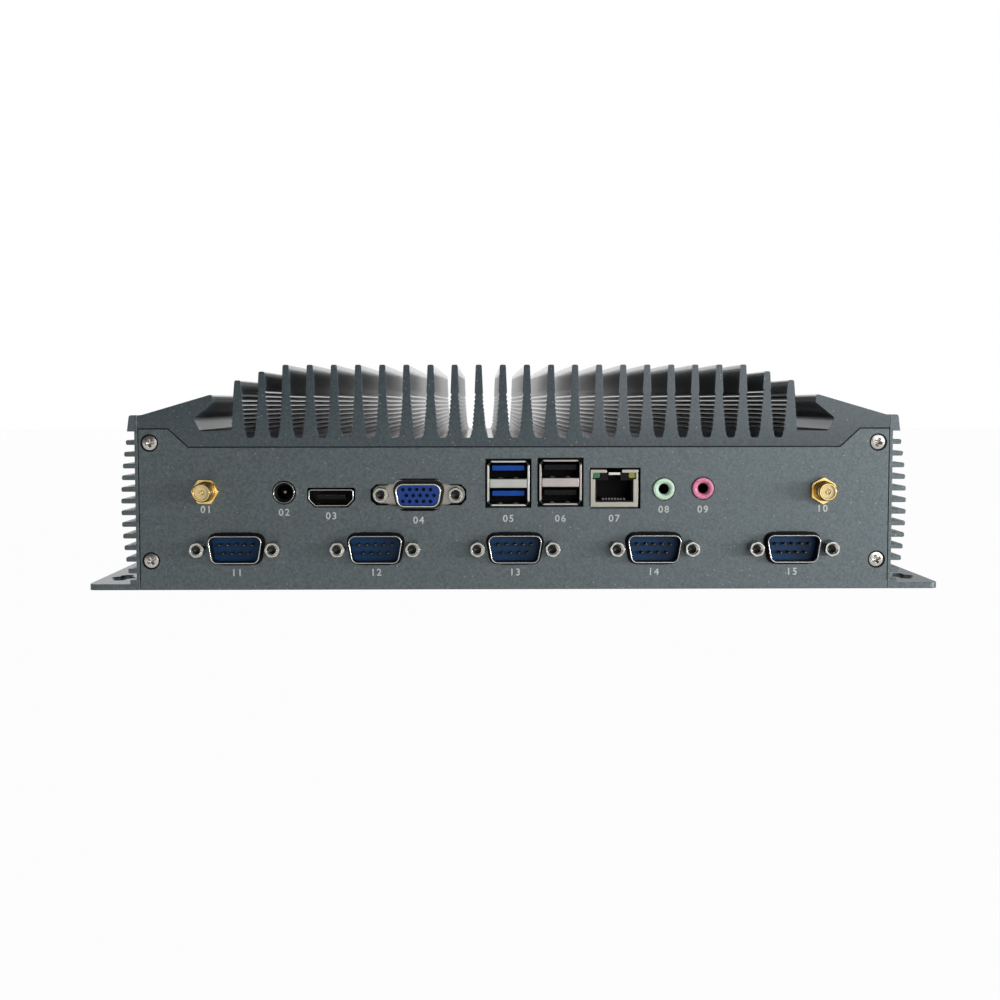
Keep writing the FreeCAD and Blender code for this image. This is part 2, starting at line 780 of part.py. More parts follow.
def serial_socket(number, across):
    """Nine-pin socket: pressed shell with a flange behind the panel, insulator on the serial board."""
    shell = on_front_panel(new_body(f"serial_shell_{number}"), across, "serial_up")
    flange_back = "panel_thick + serial_flange_thick"
    inner = ("serial_shell_width - 2 * serial_wall", "serial_shell_height - 2 * serial_wall",
             "serial_shell_round - serial_wall")
    pad(shell, "panel_thick", flange_back,
        rectangle("-serial_flange_width / 2", "serial_flange_width / 2",
                  "-serial_flange_height / 2", "serial_flange_height / 2"))
    pad(shell, "-serial_proud", flange_back,
        d_shape("serial_shell_width", "serial_shell_height", "serial_shell_round"))
    pocket(shell, "-serial_proud", flange_back, d_shape(*inner))
    keep(shell, f"serial_shell_{number}")
    insert = on_front_panel(new_body(f"serial_insert_{number}"), across, "serial_up")
    pad(insert, "serial_insert_recess", flange_back, d_shape(*inner))
    pad(insert, flange_back, "serial_block_end",
        rectangle("-serial_block_half", "serial_block_half",
                  "serial_board_top - serial_up", "serial_block_half / 2"))
    keep(insert, f"serial_insert_{number}")


def serial_pins():
    """Nine pins in each serial socket, five above four; drawn as square rods."""
    body = on_front_panel(new_body("serial_pins", several=True), 0, "serial_up")
    first = serial_places()[0]
    rows = [(5, "pin_row_half"), (4, "-pin_row_half")]
    nine = pad(body, "-pin_proud", "serial_insert_recess",
               *[polygon(4, "2 * pin_radius", f"{first} + {i - (count - 1) / 2} * pin_pitch", up, 45)
                 for count, up in rows for i in range(count)])
    row(body, nine, "serial_pitch", "serial_sockets")
    keep(body, "serial_pins")


def jackscrews():
    """Twelve hexagonal jackscrews: two beside each serial socket and two beside the analog video socket."""
    body = on_front_panel(new_body("jackscrews", several=True), 0, 0)
    serial = [(f"{across} {side} jackscrew_half_spacing", "serial_up")
              for across in serial_places() for side in "-+"]
    video = [(f"analog_across {side} jackscrew_half_spacing", "analog_up") for side in "-+"]
    for places, foot in ((serial, "0"), (video, "analog_flange_front")):
        front = f"{foot} - jackscrew_length"
        pad(body, front, foot, *[polygon(6, "jackscrew_flats", *spot, 30) for spot in places])
        pad(body, foot, f"{foot} + panel_thick",
            *[polygon(6, "2 * jackscrew_shank - 0.2", *spot) for spot in places])
        pocket(body, front, foot, *[circle(*spot, "jackscrew_bore") for spot in places])
    keep(body, "jackscrews")


def lugs(grow, across=0, up=0):
    """The analog video flange's lugs for its jackscrews, widened by grow, their ends cut at 45 degrees."""
    return chamfered(f"jackscrew_half_spacing + analog_lug_radius + {grow}", f"analog_lug_radius + {grow}",
                     "analog_lug_cut", across, up)


def analog_video_socket():
    shell = on_front_panel(new_body("analog_video_shell"), "analog_across", "analog_up")
    front, back = "analog_flange_front", "analog_flange_front + analog_flange_thick"
    inner = ("analog_shell_width - 2 * analog_wall", "analog_shell_height - 2 * analog_wall",
             "analog_shell_round - analog_wall")
    pad(shell, front, back,
        d_shape("analog_flange_width", "analog_flange_height", "analog_shell_round + 0.4"))
    pad(shell, front, back, lugs("0"))
    pad(shell, "-analog_proud", back,
        d_shape("analog_shell_width", "analog_shell_height", "analog_shell_round"))
    pocket(shell, "-analog_proud", back, d_shape(*inner))
    pocket(shell, front, back, *[polygon(6, "2 * jackscrew_shank - 0.2", f"{side} jackscrew_half_spacing")
                                 for side in "-+"])
    keep(shell, "analog_video_shell")
    insert = on_front_panel(new_body("analog_video_insert"), "analog_across", "analog_up")
    pad(insert, "0.2 - analog_proud", back, d_shape(*inner))
    pad(insert, back, f"{back} + 9", rectangle(-8, 8, "board_top - analog_up", 4))
    rows = [("-0.5", "analog_row_pitch"), ("0.65", "0"), ("-0.5", "-analog_row_pitch")]
    for shift, up in rows:
        pocket(insert, "0.2 - analog_proud", "3 - analog_proud",
               *[polygon(6, "2 * analog_hole_radius", f"{shift} + {i} * analog_hole_pitch", up)
                 for i in range(-2, 3)])
    keep(insert, "analog_video_insert")


# ---------------------------------------------------------------- other sockets

def digital_outline(grow, across=0, up=0):
    """The digital video socket's outline, widened by grow: full width above, narrowing below."""
    right = [(f"digital_half_width - digital_cut + {grow} * 0.4", f"-digital_half_height - {grow}"),
             (f"digital_half_width + {grow}", f"digital_cut - digital_half_height - {grow} * 0.4"),
             (f"digital_half_width + {grow}", f"digital_half_height + {grow} - digital_corner"),
             (f"digital_half_width + {grow} - digital_corner", f"digital_half_height + {grow}")]
    left = [(f"-({x})", z) for x, z in reversed(right)]
    return outline([(f"{across} + ({x})", f"{up} + ({z})") for x, z in right + left])


def legs(body, half_width, up):
    """Two legs that carry a shell on the main board, one under each side."""
    for left, right in ((f"-{half_width}", f"leg_thick - {half_width}"),
                        (f"{half_width} - leg_thick", half_width)):
        pad(body, "leg_near", "leg_far", rectangle(left, right, f"board_top - {up}", 0))


def digital_video_socket():
    shell = on_front_panel(new_body("digital_video_shell"), "digital_across", "digital_up")
    pad(shell, "-shell_proud", "digital_depth", digital_outline("0"))
    legs(shell, "digital_half_width", "digital_up")
    pocket(shell, "-shell_proud", "digital_depth", digital_outline("-digital_wall"))
    keep(shell, "digital_video_shell")
    insert = on_front_panel(new_body("digital_video_insert"), "digital_across", "digital_up")
    pad(insert, "digital_block_front", "digital_depth", digital_outline("-digital_wall"))
    pad(insert, 1, "digital_block_front",
        rectangle("-digital_tongue_half_width", "digital_tongue_half_width",
                  "digital_tongue_bottom", "digital_tongue_top"))
    keep(insert, "digital_video_insert")


def data_socket(letter):
    """Two stacked data sockets in one shell, with a plain bar between the two mouths."""
    across, up = f"data_{letter}_across", f"data_{letter}_up"
    middles = ["(data_bar + data_mouth_height) / 2", "-(data_bar + data_mouth_height) / 2"]

    def mouths():
        return [rectangle("-data_mouth_half_width", "data_mouth_half_width",
                          f"{middle} - data_mouth_height / 2", f"{middle} + data_mouth_height / 2")
                for middle in middles]

    shell = on_front_panel(new_body(f"data_socket_shell_{letter}"), across, up)
    pad(shell, "-shell_proud", "data_depth", chamfered("data_half_width", "data_half_height", "data_corner"))
    legs(shell, "data_half_width", up)
    pocket(shell, "-shell_proud", "data_depth", *mouths())
    keep(shell, f"data_socket_shell_{letter}")
    insert = on_front_panel(new_body(f"data_socket_insert_{letter}"), across, up)
    pad(insert, "data_depth", "data_depth + 1",
        rectangle("-data_mouth_half_width", "data_mouth_half_width",
                  f"board_top - {up}", "data_half_height - 1"))
    pad(insert, "data_block_front", "data_depth", *mouths())
    tongue = "data_tongue_thick / 2"
    pad(insert, "data_tongue_recess", "data_block_front", *[rectangle(
        "-data_tongue_half_width", "data_tongue_half_width",
        f"{middle} + data_tongue_lift - {tongue}", f"{middle} + data_tongue_lift + {tongue}")
        for middle in middles])
    keep(insert, f"data_socket_insert_{letter}")


def network_jack():
    """Eight-way jack: shell with a stepped mouth and a latch notch, black housing, contacts and two lamps."""
    place_it = "network_across", "network_up"
    mouth = (rectangle("-plug_half_width", "plug_half_width", "plug_bottom", "plug_top"),
             rectangle("-lamp_row_half_width", "lamp_row_half_width", "lamp_row_bottom", "lamp_row_top"),
             rectangle("-latch_half_width", "latch_half_width", "lamp_row_top - 0.2", "latch_top"))
    shell = on_front_panel(new_body("network_jack_shell"), *place_it)
    pad(shell, "-shell_proud", "network_depth", rectangle("-network_half_width", "network_half_width",
                                                          "-network_half_height", "network_half_height"))
    legs(shell, "network_half_width", "network_up")
    for part_of_mouth in mouth:
        pocket(shell, "-shell_proud", "network_depth", part_of_mouth)
    keep(shell, "network_jack_shell")
    housing = on_front_panel(new_body("network_jack_housing"), *place_it)
    pad(housing, "housing_recess", "network_depth", mouth[0])
    pad(housing, "housing_recess", "network_depth", mouth[1])
    pocket(housing, "housing_recess", "plug_depth",
           rectangle("housing_wall - plug_half_width", "plug_half_width - housing_wall",
                     "plug_bottom + housing_wall", "plug_top - housing_wall"))
    pocket(housing, "housing_recess", 11,
           rectangle("housing_wall - latch_half_width", "latch_half_width - housing_wall",
                     "plug_top - 2 * housing_wall", "lamp_row_top - 1"))
    lamps = {"green": f"{LEFT} * lamp_across", "yellow": f"{RIGHT} * lamp_across"}
    for across in lamps.values():
        pocket(housing, "housing_recess", "lamp_depth",
               rectangle(f"{across} - lamp_half_width", f"{across} + lamp_half_width",
                         "lamp_row_bottom + 0.4", "lamp_row_top"))
    keep(housing, "network_jack_housing")
    for colour, across in lamps.items():
        lamp = on_front_panel(new_body(f"network_lamp_{colour}"), *place_it)
        pad(lamp, 0.1, "lamp_depth", rectangle(f"{across} - lamp_half_width", f"{across} + lamp_half_width",
                                               "lamp_row_bottom + 0.4", "lamp_row_top"))
        keep(lamp, f"network_lamp_{colour}")
    contacts = on_front_panel(new_body("network_jack_contacts", several=True), *place_it)
    pad(contacts, 3, "plug_depth",
        *[rectangle(f"{i - 3.5} * contact_pitch - contact_half", f"{i - 3.5} * contact_pitch + contact_half",
                    "plug_bottom + housing_wall", "plug_bottom + housing_wall + contact_thick")
          for i in range(8)])
    keep(contacts, "network_jack_contacts")


def audio_jack(label, name):
    body = on_front_panel(new_body(label), f"{name}_across", f"{name}_up")
    pad(body, "panel_thick", "audio_bore_depth + 1",
        rectangle("-audio_half_width", "audio_half_width", f"board_top - {name}_up", "audio_half_width"))
    pad(body, "-audio_proud", "panel_thick", polygon(ROUND, "2 * audio_nozzle_radius"))
    pocket(body, "-audio_proud", "audio_bore_depth - audio_proud", circle(0, 0, "audio_bore_radius"))
    keep(body, label)


def power_jack():
    place_it = "power_across", "power_up"
    housing = on_front_panel(new_body("power_jack_housing"), *place_it)
    pad(housing, "panel_thick", "power_depth + 2",
        rectangle("-power_half_width", "power_half_width", "board_top - power_up", "power_half_width"))
    pocket(housing, "panel_thick", "power_depth", polygon(ROUND, "2 * power_sleeve_radius"))
    keep(housing, "power_jack_housing")
    sleeve = on_front_panel(new_body("power_jack_sleeve"), *place_it)
    pad(sleeve, "-shell_proud", "power_depth", polygon(ROUND, "2 * power_sleeve_radius"),
        polygon(ROUND, "2 * power_bore_radius"))
    keep(sleeve, "power_jack_sleeve")
    pin = on_front_panel(new_body("power_jack_pin"), *place_it)
    pad(pin, 1, "power_depth", polygon(8, "2 * power_pin_radius"))
    keep(pin, "power_jack_pin")


def antenna_jacks():
    """Threaded coaxial jacks: shoulder behind the panel, nut in front, insulated centre contact."""
    for label, side in (("left", LEFT), ("right", RIGHT)):
        jack = on_front_panel(new_body(f"antenna_jack_{label}"),
                              f"{side} * antenna_across", "antenna_up")
        pad(jack, "panel_thick", "panel_thick + 2.5", polygon(6, "antenna_flats"))
        pad(jack, "-antenna_nut_thick", "panel_thick", polygon(TAPER, "2 * antenna_neck_radius"))
        pad(jack, "-antenna_proud", "-antenna_nut_thick", circle(0, 0, "antenna_radius"))
        pocket(jack, "-antenna_proud", 0, polygon(TAPER, "2 * antenna_core_radius"))
        keep(jack, f"antenna_jack_{label}")
    middles = "-antenna_across", "antenna_across"
    nuts = on_front_panel(new_body("antenna_nuts", several=True), 0, "antenna_up")
    pad(nuts, "-antenna_nut_thick", 0, *[polygon(6, "antenna_flats", across, 0, turn)
                                         for across, turn in zip(middles, (20, 32))])
    pocket(nuts, "-antenna_nut_thick", 0,
           *[polygon(TAPER, "2 * antenna_neck_radius", across) for across in middles])
    keep(nuts, "antenna_nuts")
    face = "antenna_core_recess - antenna_proud"
    cores = on_front_panel(new_body("antenna_insulators", several=True), 0, "antenna_up")
    pad(cores, face, 0, *[polygon(TAPER, "2 * antenna_core_radius", across) for across in middles])
    keep(cores, "antenna_insulators")
    contacts = on_front_panel(new_body("antenna_contacts", several=True), 0, "antenna_up")
    pad(contacts, "antenna_core_recess / 2 - antenna_proud", face,
        *[polygon(8, "2 * antenna_contact_radius", across) for across in middles])
    keep(contacts, "antenna_contacts")


def power_button():
    """Plunger held behind the rear panel by a square flange, in the chamber of its switch."""
    button = place(new_body("power_button"), "button_across", "depth / 2", "button_up")
    pad(button, "-panel_thick", "button_proud", circle(0, 0, "button_radius"))
    pad(button, "-panel_thick - button_flange_thick", "-panel_thick",
        rectangle("-button_flange_half", "button_flange_half", "-button_flange_half", "button_flange_half"))
    keep(button, "power_button")
    switch = place(new_body("power_switch"), "button_across", "depth / 2", "button_up")
    pad(switch, "-switch_end", "-panel_thick",
        rectangle("-switch_half", "switch_half", "-switch_half", "switch_half"))
    chamber = "button_flange_half + 0.3"
    pocket(switch, "-panel_thick - button_flange_thick - button_travel - 1", "-panel_thick",
           rectangle(f"-({chamber})", chamber, f"-({chamber})", chamber))
    keep(switch, "power_switch")


# ---------------------------------------------------------------- boards

def main_board():
    """Board with its soldered parts: memory socket and arms, card sockets and posts, a row of inductors."""
    top = "board_top"
    back = "board_front + board_length"
    solids = [block("board", "-board_half_width", "board_half_width", "board_front", back,
                    "board_underside", top),
              block("memory_socket", -37, 37, 60, 65, top, "board_top + 4.2"),
              block("memory_arm_left", -37, -33.8, 31, 60, top, "board_top + 3.9"),
              block("memory_arm_right", 33.8, 37, 31, 60, top, "board_top + 3.9"),
              block("storage_socket", 55, 77, -26, -20, top, "board_top + 4.2"),
              block("storage_post", 63, 69, 56, 60, top, "board_top + 2.9"),
              block("wireless_socket", -77, -55, 14, 20, top, "board_top + 4.2"),
              block("wireless_post", -69, -63, 46, 50, top, "board_top + 2.9")]
    solids += [block("inductor", -27 + 9 * i, -20 + 9 * i, -45, -38, top, "board_top + 4")
               for i in range(6)]
    keep(together("MultiFuse", "main_board_solid", solids), "main_board")


def inner_parts():
    keep(block("processor_solid", -18.75, 18.75, -23.75, 13.75, "board_top", "board_top + 2.2"), "processor")
    keep(block("heat_block_solid", -28, 28, -29, 19, "board_top + 2.2", "sink_underside"),
         "heat_block")
    keep(block("memory_solid", -33.8, 33.8, 30, 60, "board_top + 2.7", "board_top + 3.9"),
         "memory_module")
    keep(block("storage_solid", 55, 77, -20, 60, "board_top + 2.9", "board_top + 4.9"),
         "storage_card")
    keep(block("wireless_solid", -77, -55, 20, 50, "board_top + 2.9", "board_top + 4.9"),
         "wireless_card")
    keep(block("serial_board_solid", "-serial_board_half_width", "serial_board_half_width",
               "serial_board_front", "serial_board_back",
               "serial_board_underside", "serial_board_top"), "serial_board")
    keep(block("link_solid", 60, 80, -72, -67, "serial_board_top", "board_underside"),
         "board_link_header")
    places = [(x, y) for x in ("-standoff_across", "standoff_across")
              for y in ("standoff_front", "standoff_back")]
    standoffs = new_body("board_standoffs", several=True)
    pad_up(standoffs, "plate_thick", "board_underside",
           *[polygon(6, "standoff_across_flats", *spot) for spot in places])
    keep(standoffs, "board_standoffs")
    screws = new_body("board_screws", several=True)
    pad_up(screws, "board_top", "board_top + board_screw_head",
           *[polygon(6, "board_screw_flats", *spot) for spot in places])
    keep(screws, "board_screws")


# ---------------------------------------------------------------- assembly

def build():
    top_heatsink()
    side_heatsink("side_heatsink_left", LEFT)
    side_heatsink("side_heatsink_right", RIGHT)
    base_plate()
    front_panel()
    rear_panel()
    panel_screws()
    antenna_jacks()
    power_jack()
    digital_video_socket()
    analog_video_socket()
    for letter in "ab":
        data_socket(letter)
    network_jack()
    audio_jack("line_jack", "line")
    audio_jack("microphone_jack", "microphone")
    for number, across in enumerate(serial_places(), start=1):
        serial_socket(number, across)
    serial_pins()
    jackscrews()
    main_board()
    inner_parts()
    power_button()


def check():
    for thing in doc.Objects:
        if {"Invalid", "Error"} & set(thing.State):
            raise RuntimeError(f"{thing.Label}: {thing.State}")
    for piece in pieces:
        if piece.Shape.isNull() or not piece.Shape.isValid():
            raise RuntimeError(f"{piece.Label} has no valid shape")


def write():
    os.makedirs("parts", exist_ok=True)
    for piece in pieces:
        piece.Shape.exportStep(f"parts/{piece.Label}.step")
        print(f"{piece.Label}: {len(piece.Shape.Solids)} solids, {piece.Shape.Volume:.0f} mm3")


build()
doc.recompute()
check()
write()
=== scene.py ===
"""Dresses the fanless industrial computer: a finish for every solid, fine surfaces where a solid is plain.

Lengths in the values and formulas below are millimetres; meshes are put into the scene in metres.
The frame is the solids' own: +Z up, -Y out of the socket panel, +X to the right of a person facing it.
"""

import json
import math

import bmesh
import bpy
import numpy as np
from mathutils import Euler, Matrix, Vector


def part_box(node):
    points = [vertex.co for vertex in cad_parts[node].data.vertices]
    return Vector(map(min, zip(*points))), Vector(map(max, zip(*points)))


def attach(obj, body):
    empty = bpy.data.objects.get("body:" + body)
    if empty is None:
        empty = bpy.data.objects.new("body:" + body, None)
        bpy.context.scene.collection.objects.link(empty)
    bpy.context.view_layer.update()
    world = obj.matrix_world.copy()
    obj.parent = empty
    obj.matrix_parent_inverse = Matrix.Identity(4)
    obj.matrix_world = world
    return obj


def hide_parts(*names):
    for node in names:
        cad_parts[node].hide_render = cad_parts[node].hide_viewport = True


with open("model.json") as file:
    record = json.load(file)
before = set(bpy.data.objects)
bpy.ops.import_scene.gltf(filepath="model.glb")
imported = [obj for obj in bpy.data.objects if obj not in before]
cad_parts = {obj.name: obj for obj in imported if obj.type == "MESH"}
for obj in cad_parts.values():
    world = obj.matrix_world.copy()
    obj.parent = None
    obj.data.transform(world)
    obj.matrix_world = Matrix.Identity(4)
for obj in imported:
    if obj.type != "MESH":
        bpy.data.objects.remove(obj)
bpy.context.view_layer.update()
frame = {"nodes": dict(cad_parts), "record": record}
nodes = frame["nodes"]
MM = 0.001


# ---------------------------------------------------------------- places read from the solids

def extent(node):
    """Lowest and highest corner of a solid, in millimetres."""
    low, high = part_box(node)
    return np.array(low) / MM, np.array(high) / MM


def middle(node):
    """Centre of a solid's box, in millimetres."""
    low, high = extent(node)
    return (low + high) / 2


PANEL_FACE = extent("front_panel")[0][1]
REAR_FACE = extent("rear_panel")[1][1]
SERIAL_SOCKETS = 5


# ---------------------------------------------------------------- mesh making

def patch(points, wrap=False, first_cap=False, last_cap=False):
    """Vertices and faces of a grid of points: rows by columns, each row closed on itself when wrapped.

    A cap fills the first or the last row with one polygon.
    """
    rows, columns = points.shape[:2]
    index = np.arange(rows * columns).reshape(rows, columns)
    ring = np.concatenate([index, index[:, :1]], axis=1) if wrap else index
    quads = np.stack([ring[:-1, :-1], ring[:-1, 1:], ring[1:, 1:], ring[1:, :-1]], axis=-1)
    faces = quads.reshape(-1, 4).tolist()
    if first_cap:
        faces.append(index[0, ::-1].tolist())
    if last_cap:
        faces.append(index[-1].tolist())
    return points.reshape(-1, 3), faces


def make(name, patches, material, stands_for=(), body="case", crease=35):
    """One object from several patches, with outward faces and smooth shading up to the crease angle."""
    points, faces, start = [], [], 0
    for vertices, polygons in patches:
        points.append(vertices)
        faces += [[start + corner for corner in polygon] for polygon in polygons]
        start += len(vertices)
    mesh = bpy.data.meshes.new(name)
    mesh.from_pydata((np.concatenate(points) * MM).tolist(), [], faces)
    shell = bmesh.new()
    shell.from_mesh(mesh)
    bmesh.ops.remove_doubles(shell, verts=shell.verts, dist=1e-7)
    bmesh.ops.recalc_face_normals(shell, faces=shell.faces)
    shell.to_mesh(mesh)
    shell.free()
    mesh.shade_smooth()
    mesh.set_sharp_from_angle(angle=math.radians(crease))
    mesh.materials.append(material)
    piece = bpy.data.objects.new(name, mesh)
    bpy.context.scene.collection.objects.link(piece)
    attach(piece, body)
    if stands_for:
        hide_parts(*stands_for)
    return piece


def turns(count, start=0.0):
    """Directions evenly spaced round a full circle, in radians."""
    return start + np.arange(count) * 2 * np.pi / count


def facing_out(across, out, up):
    """Points given across, out of the socket panel and up, as X, Y and Z."""
    return np.stack(np.broadcast_arrays(across, PANEL_FACE - out, up), axis=-1)


def turned(profile, centre, count=48):
    """A turned form: each (radius, out) of the profile swept round an axis out of the panel at centre."""
    profile = np.asarray(profile, float)
    angle = turns(count)
    radius, out = profile[:, :1], profile[:, 1:]
    return facing_out(centre[0] + radius * np.cos(angle), out + 0 * angle, centre[1] + radius * np.sin(angle))


def hexagon(flats, angle):
    """Radius of a hexagon with the given distance across flats, in each direction."""
    sector = np.pi / 3
    return flats / 2 / np.cos((angle + sector / 2) % sector - sector / 2)


# ---------------------------------------------------------------- shader nodes

def add(tree, kind, inputs=None, **properties):
    """A shader node; each input is given a value, or the socket that feeds it."""
    made = tree.nodes.new("ShaderNode" + kind)
    for key, setting in properties.items():
        setattr(made, key, setting)
    for key, feed in (inputs or {}).items():
        if isinstance(feed, bpy.types.NodeSocket):
            tree.links.new(feed, made.inputs[key])
        else:
            made.inputs[key].default_value = feed
    return made


def arithmetic(tree, operation, *terms, clamp=False):
    """The output of a math node."""
    return add(tree, "Math", dict(enumerate(terms)), operation=operation, use_clamp=clamp).outputs[0]


def between(tree, factor, first, second):
    """A colour mixed from two others."""
    mixer = add(tree, "Mix", {"Factor": factor}, data_type="RGBA", clamp_factor=True)
    for socket, feed in ((mixer.inputs[6], first), (mixer.inputs[7], second)):
        if isinstance(feed, bpy.types.NodeSocket):
            tree.links.new(feed, socket)
        else:
            socket.default_value = (*feed, 1)
    return mixer.outputs[2]


def effect(name, inputs, outputs):
    """An empty node group with float inputs; returns its tree, its input sockets and its output node."""
    tree = bpy.data.node_groups.new(name, "ShaderNodeTree")
    for label, number in inputs.items():
        tree.interface.new_socket(label, in_out="INPUT", socket_type="NodeSocketFloat").default_value = number
    for label, kind in outputs.items():
        tree.interface.new_socket(label, in_out="OUTPUT", socket_type="NodeSocket" + kind)
    return tree, tree.nodes.new("NodeGroupInput").outputs, tree.nodes.new("NodeGroupOutput").inputs


def use(tree, group, **values):
    """A node group placed in a material, with its own values."""
    placed = add(tree, "Group", node_tree=group)
    for label, number in values.items():
        placed.inputs[label.replace("_", " ").capitalize()].default_value = number
    return placed.outputs


def rounded_edges_effect():
    """Normals of a small round on every edge, and a mask that is 1 where that round is."""
    tree, given, result = effect("rounded edges", {"Radius": 0.0002}, {"Normal": "Vector", "Edge": "Float"})
    bevel = add(tree, "Bevel", {"Radius": given["Radius"]}, samples=4).outputs[0]
    flat = add(tree, "NewGeometry").outputs["True Normal"]
    alike = add(tree, "VectorMath", {0: bevel, 1: flat}, operation="DOT_PRODUCT").outputs["Value"]
    edge = add(tree, "MapRange", {"Value": alike, "From Min": 0.995, "From Max": 0.8}).outputs[0]
    tree.links.new(bevel, result["Normal"])
    tree.links.new(edge, result["Edge"])
    return tree


def blasted_effect():
    """Fine blasted grain, a slow cloud, and a mask of a few small flecks for painted glints, where the light
    would catch a grain.
    """
    inputs = {"Grain scale": 1500.0, "Fleck scale": 1900.0, "Fleck share": 0.009}
    tree, given, result = effect("blasted metal", inputs,
                                 {"Grain": "Float", "Cloud": "Float", "Glint": "Float"})
    place = add(tree, "TexCoord").outputs["Object"]
    noise = add(tree, "TexNoise", {"Vector": place, "Scale": given["Grain scale"], "Detail": 2.0}).outputs[0]
    grain = add(tree, "MapRange", {"Value": noise, "From Min": 0.3, "From Max": 0.7})
    cloud = add(tree, "TexNoise", {"Vector": place, "Scale": 28.0, "Detail": 3.0})
    cells = add(tree, "TexVoronoi", {"Vector": place, "Scale": given["Fleck scale"]})
    chosen = arithmetic(tree, "LESS_THAN", add(tree, "SeparateColor", {0: cells.outputs["Color"]}).outputs[0],
                        given["Fleck share"])
    near = add(tree, "MapRange",
               {"Value": cells.outputs["Distance"], "From Min": 0.5, "From Max": 0.2}).outputs[0]
    tree.links.new(grain.outputs[0], result["Grain"])
    tree.links.new(cloud.outputs[0], result["Cloud"])
    tree.links.new(arithmetic(tree, "MULTIPLY", chosen, near), result["Glint"])
    return tree


def plating_effect():
    """Slight waviness and fine wiping marks of plated metal."""
    tree, given, result = effect("plated metal", {"Wave scale": 260.0, "Mark scale": 900.0},
                                 {"Wave": "Float", "Marks": "Float"})
    place = add(tree, "TexCoord").outputs["Object"]
    wave = add(tree, "TexNoise", {"Vector": place, "Scale": given["Wave scale"], "Detail": 2.0})
    stretched = add(tree, "Mapping", {"Vector": place, "Scale": (1.0, 0.25, 6.0)}).outputs[0]
    marks = add(tree, "TexNoise", {"Vector": stretched, "Scale": given["Mark scale"], "Detail": 3.0})
    tree.links.new(wave.outputs[0], result["Wave"])
    tree.links.new(marks.outputs[0], result["Marks"])
    return tree


def moulded_effect():
    """Spark-eroded texture of moulded plastic, with slight colour streaks."""
    tree, given, result = effect("moulded plastic", {"Grain scale": 3200.0},
                                 {"Grain": "Float", "Streak": "Float"})
    place = add(tree, "TexCoord").outputs["Object"]
    grain = add(tree, "TexNoise", {"Vector": place, "Scale": given["Grain scale"], "Detail": 1.0})
    streak = add(tree, "TexNoise", {"Vector": place, "Scale": 140.0, "Detail": 2.0, "Distortion": 1.5})
    tree.links.new(grain.outputs[0], result["Grain"])
    tree.links.new(streak.outputs[0], result["Streak"])
    return tree


ROUNDED_EDGES = rounded_edges_effect()
BLASTED = blasted_effect()
PLATING = plating_effect()
MOULDED = moulded_effect()


def blank(name):
    """A material whose shader is ready to be fed."""
    material = bpy.data.materials.new(name)
    material.use_nodes = True
    tree = material.node_tree
    return material, tree, next(node for node in tree.nodes if node.type == "BSDF_PRINCIPLED")


def shade(colour, by):
    """A colour made lighter or darker by a factor, held at 1."""
    return tuple(min(1.0, channel * by) for channel in colour)


def anodised(name, colour, roughness=0.42, edge_radius=0.0003, edge_highlight_gain=2.6, metal=0.55, coat=0.0,
             shine=0.5):
    """Blasted and anodised aluminium: dark slate with bright flecks painted in as glints, and edges painted
    lighter as a highlight.
    """
    material, tree, shader = blank(name)
    grain = use(tree, BLASTED)
    edges = use(tree, ROUNDED_EDGES, radius=edge_radius)
    cloudy = between(tree, grain["Cloud"], shade(colour, 0.74), shade(colour, 0.9))
    body = between(tree, grain["Grain"], cloudy, shade(colour, 1.3))
    # painted highlight: the colour is lightened where the edges are rounded
    lit = between(tree, arithmetic(tree, "MULTIPLY", edges["Edge"], 0.5), body, shade(colour, edge_highlight_gain))
    # painted glints: a few bright flecks mixed into the colour
    with_glints = between(tree, arithmetic(tree, "MULTIPLY", grain["Glint"], 0.5), lit, (0.5, 0.55, 0.56))
    bump = add(tree, "Bump", {"Strength": 0.25, "Distance": 0.00004, "Height": grain["Grain"],
                              "Normal": edges["Normal"]})
    rough = add(tree, "MapRange", {"Value": grain["Grain"], "To Min": roughness - 0.07,
                                   "To Max": roughness + 0.07}).outputs[0]
    tree.links.new(with_glints, shader.inputs["Base Color"])
    tree.links.new(rough, shader.inputs["Roughness"])
    tree.links.new(bump.outputs[0], shader.inputs["Normal"])
    shader.inputs["Metallic"].default_value = metal
    shader.inputs["Coat Weight"].default_value = coat
    shader.inputs["Coat Roughness"].default_value = 0.1
    shader.inputs["Specular IOR Level"].default_value = shine
    return material


def plated(name, colour, roughness=0.25, edge_radius=0.00012, wave=0.12):
    """Plated metal, wavy and finely marked."""
    material, tree, shader = blank(name)
    plating = use(tree, PLATING)
    edges = use(tree, ROUNDED_EDGES, radius=edge_radius)
    body = between(tree, plating["Wave"], shade(colour, 0.86), shade(colour, 1.08))
    bump = add(tree, "Bump", {"Strength": wave, "Distance": 0.0001, "Height": plating["Wave"],
                              "Normal": edges["Normal"]})
    rough = add(tree, "MapRange", {"Value": plating["Marks"], "To Min": roughness - 0.08,
                                   "To Max": roughness + 0.12}).outputs[0]
    tree.links.new(body, shader.inputs["Base Color"])
    tree.links.new(rough, shader.inputs["Roughness"])
    tree.links.new(bump.outputs[0], shader.inputs["Normal"])
    shader.inputs["Metallic"].default_value = 1.0
    return material


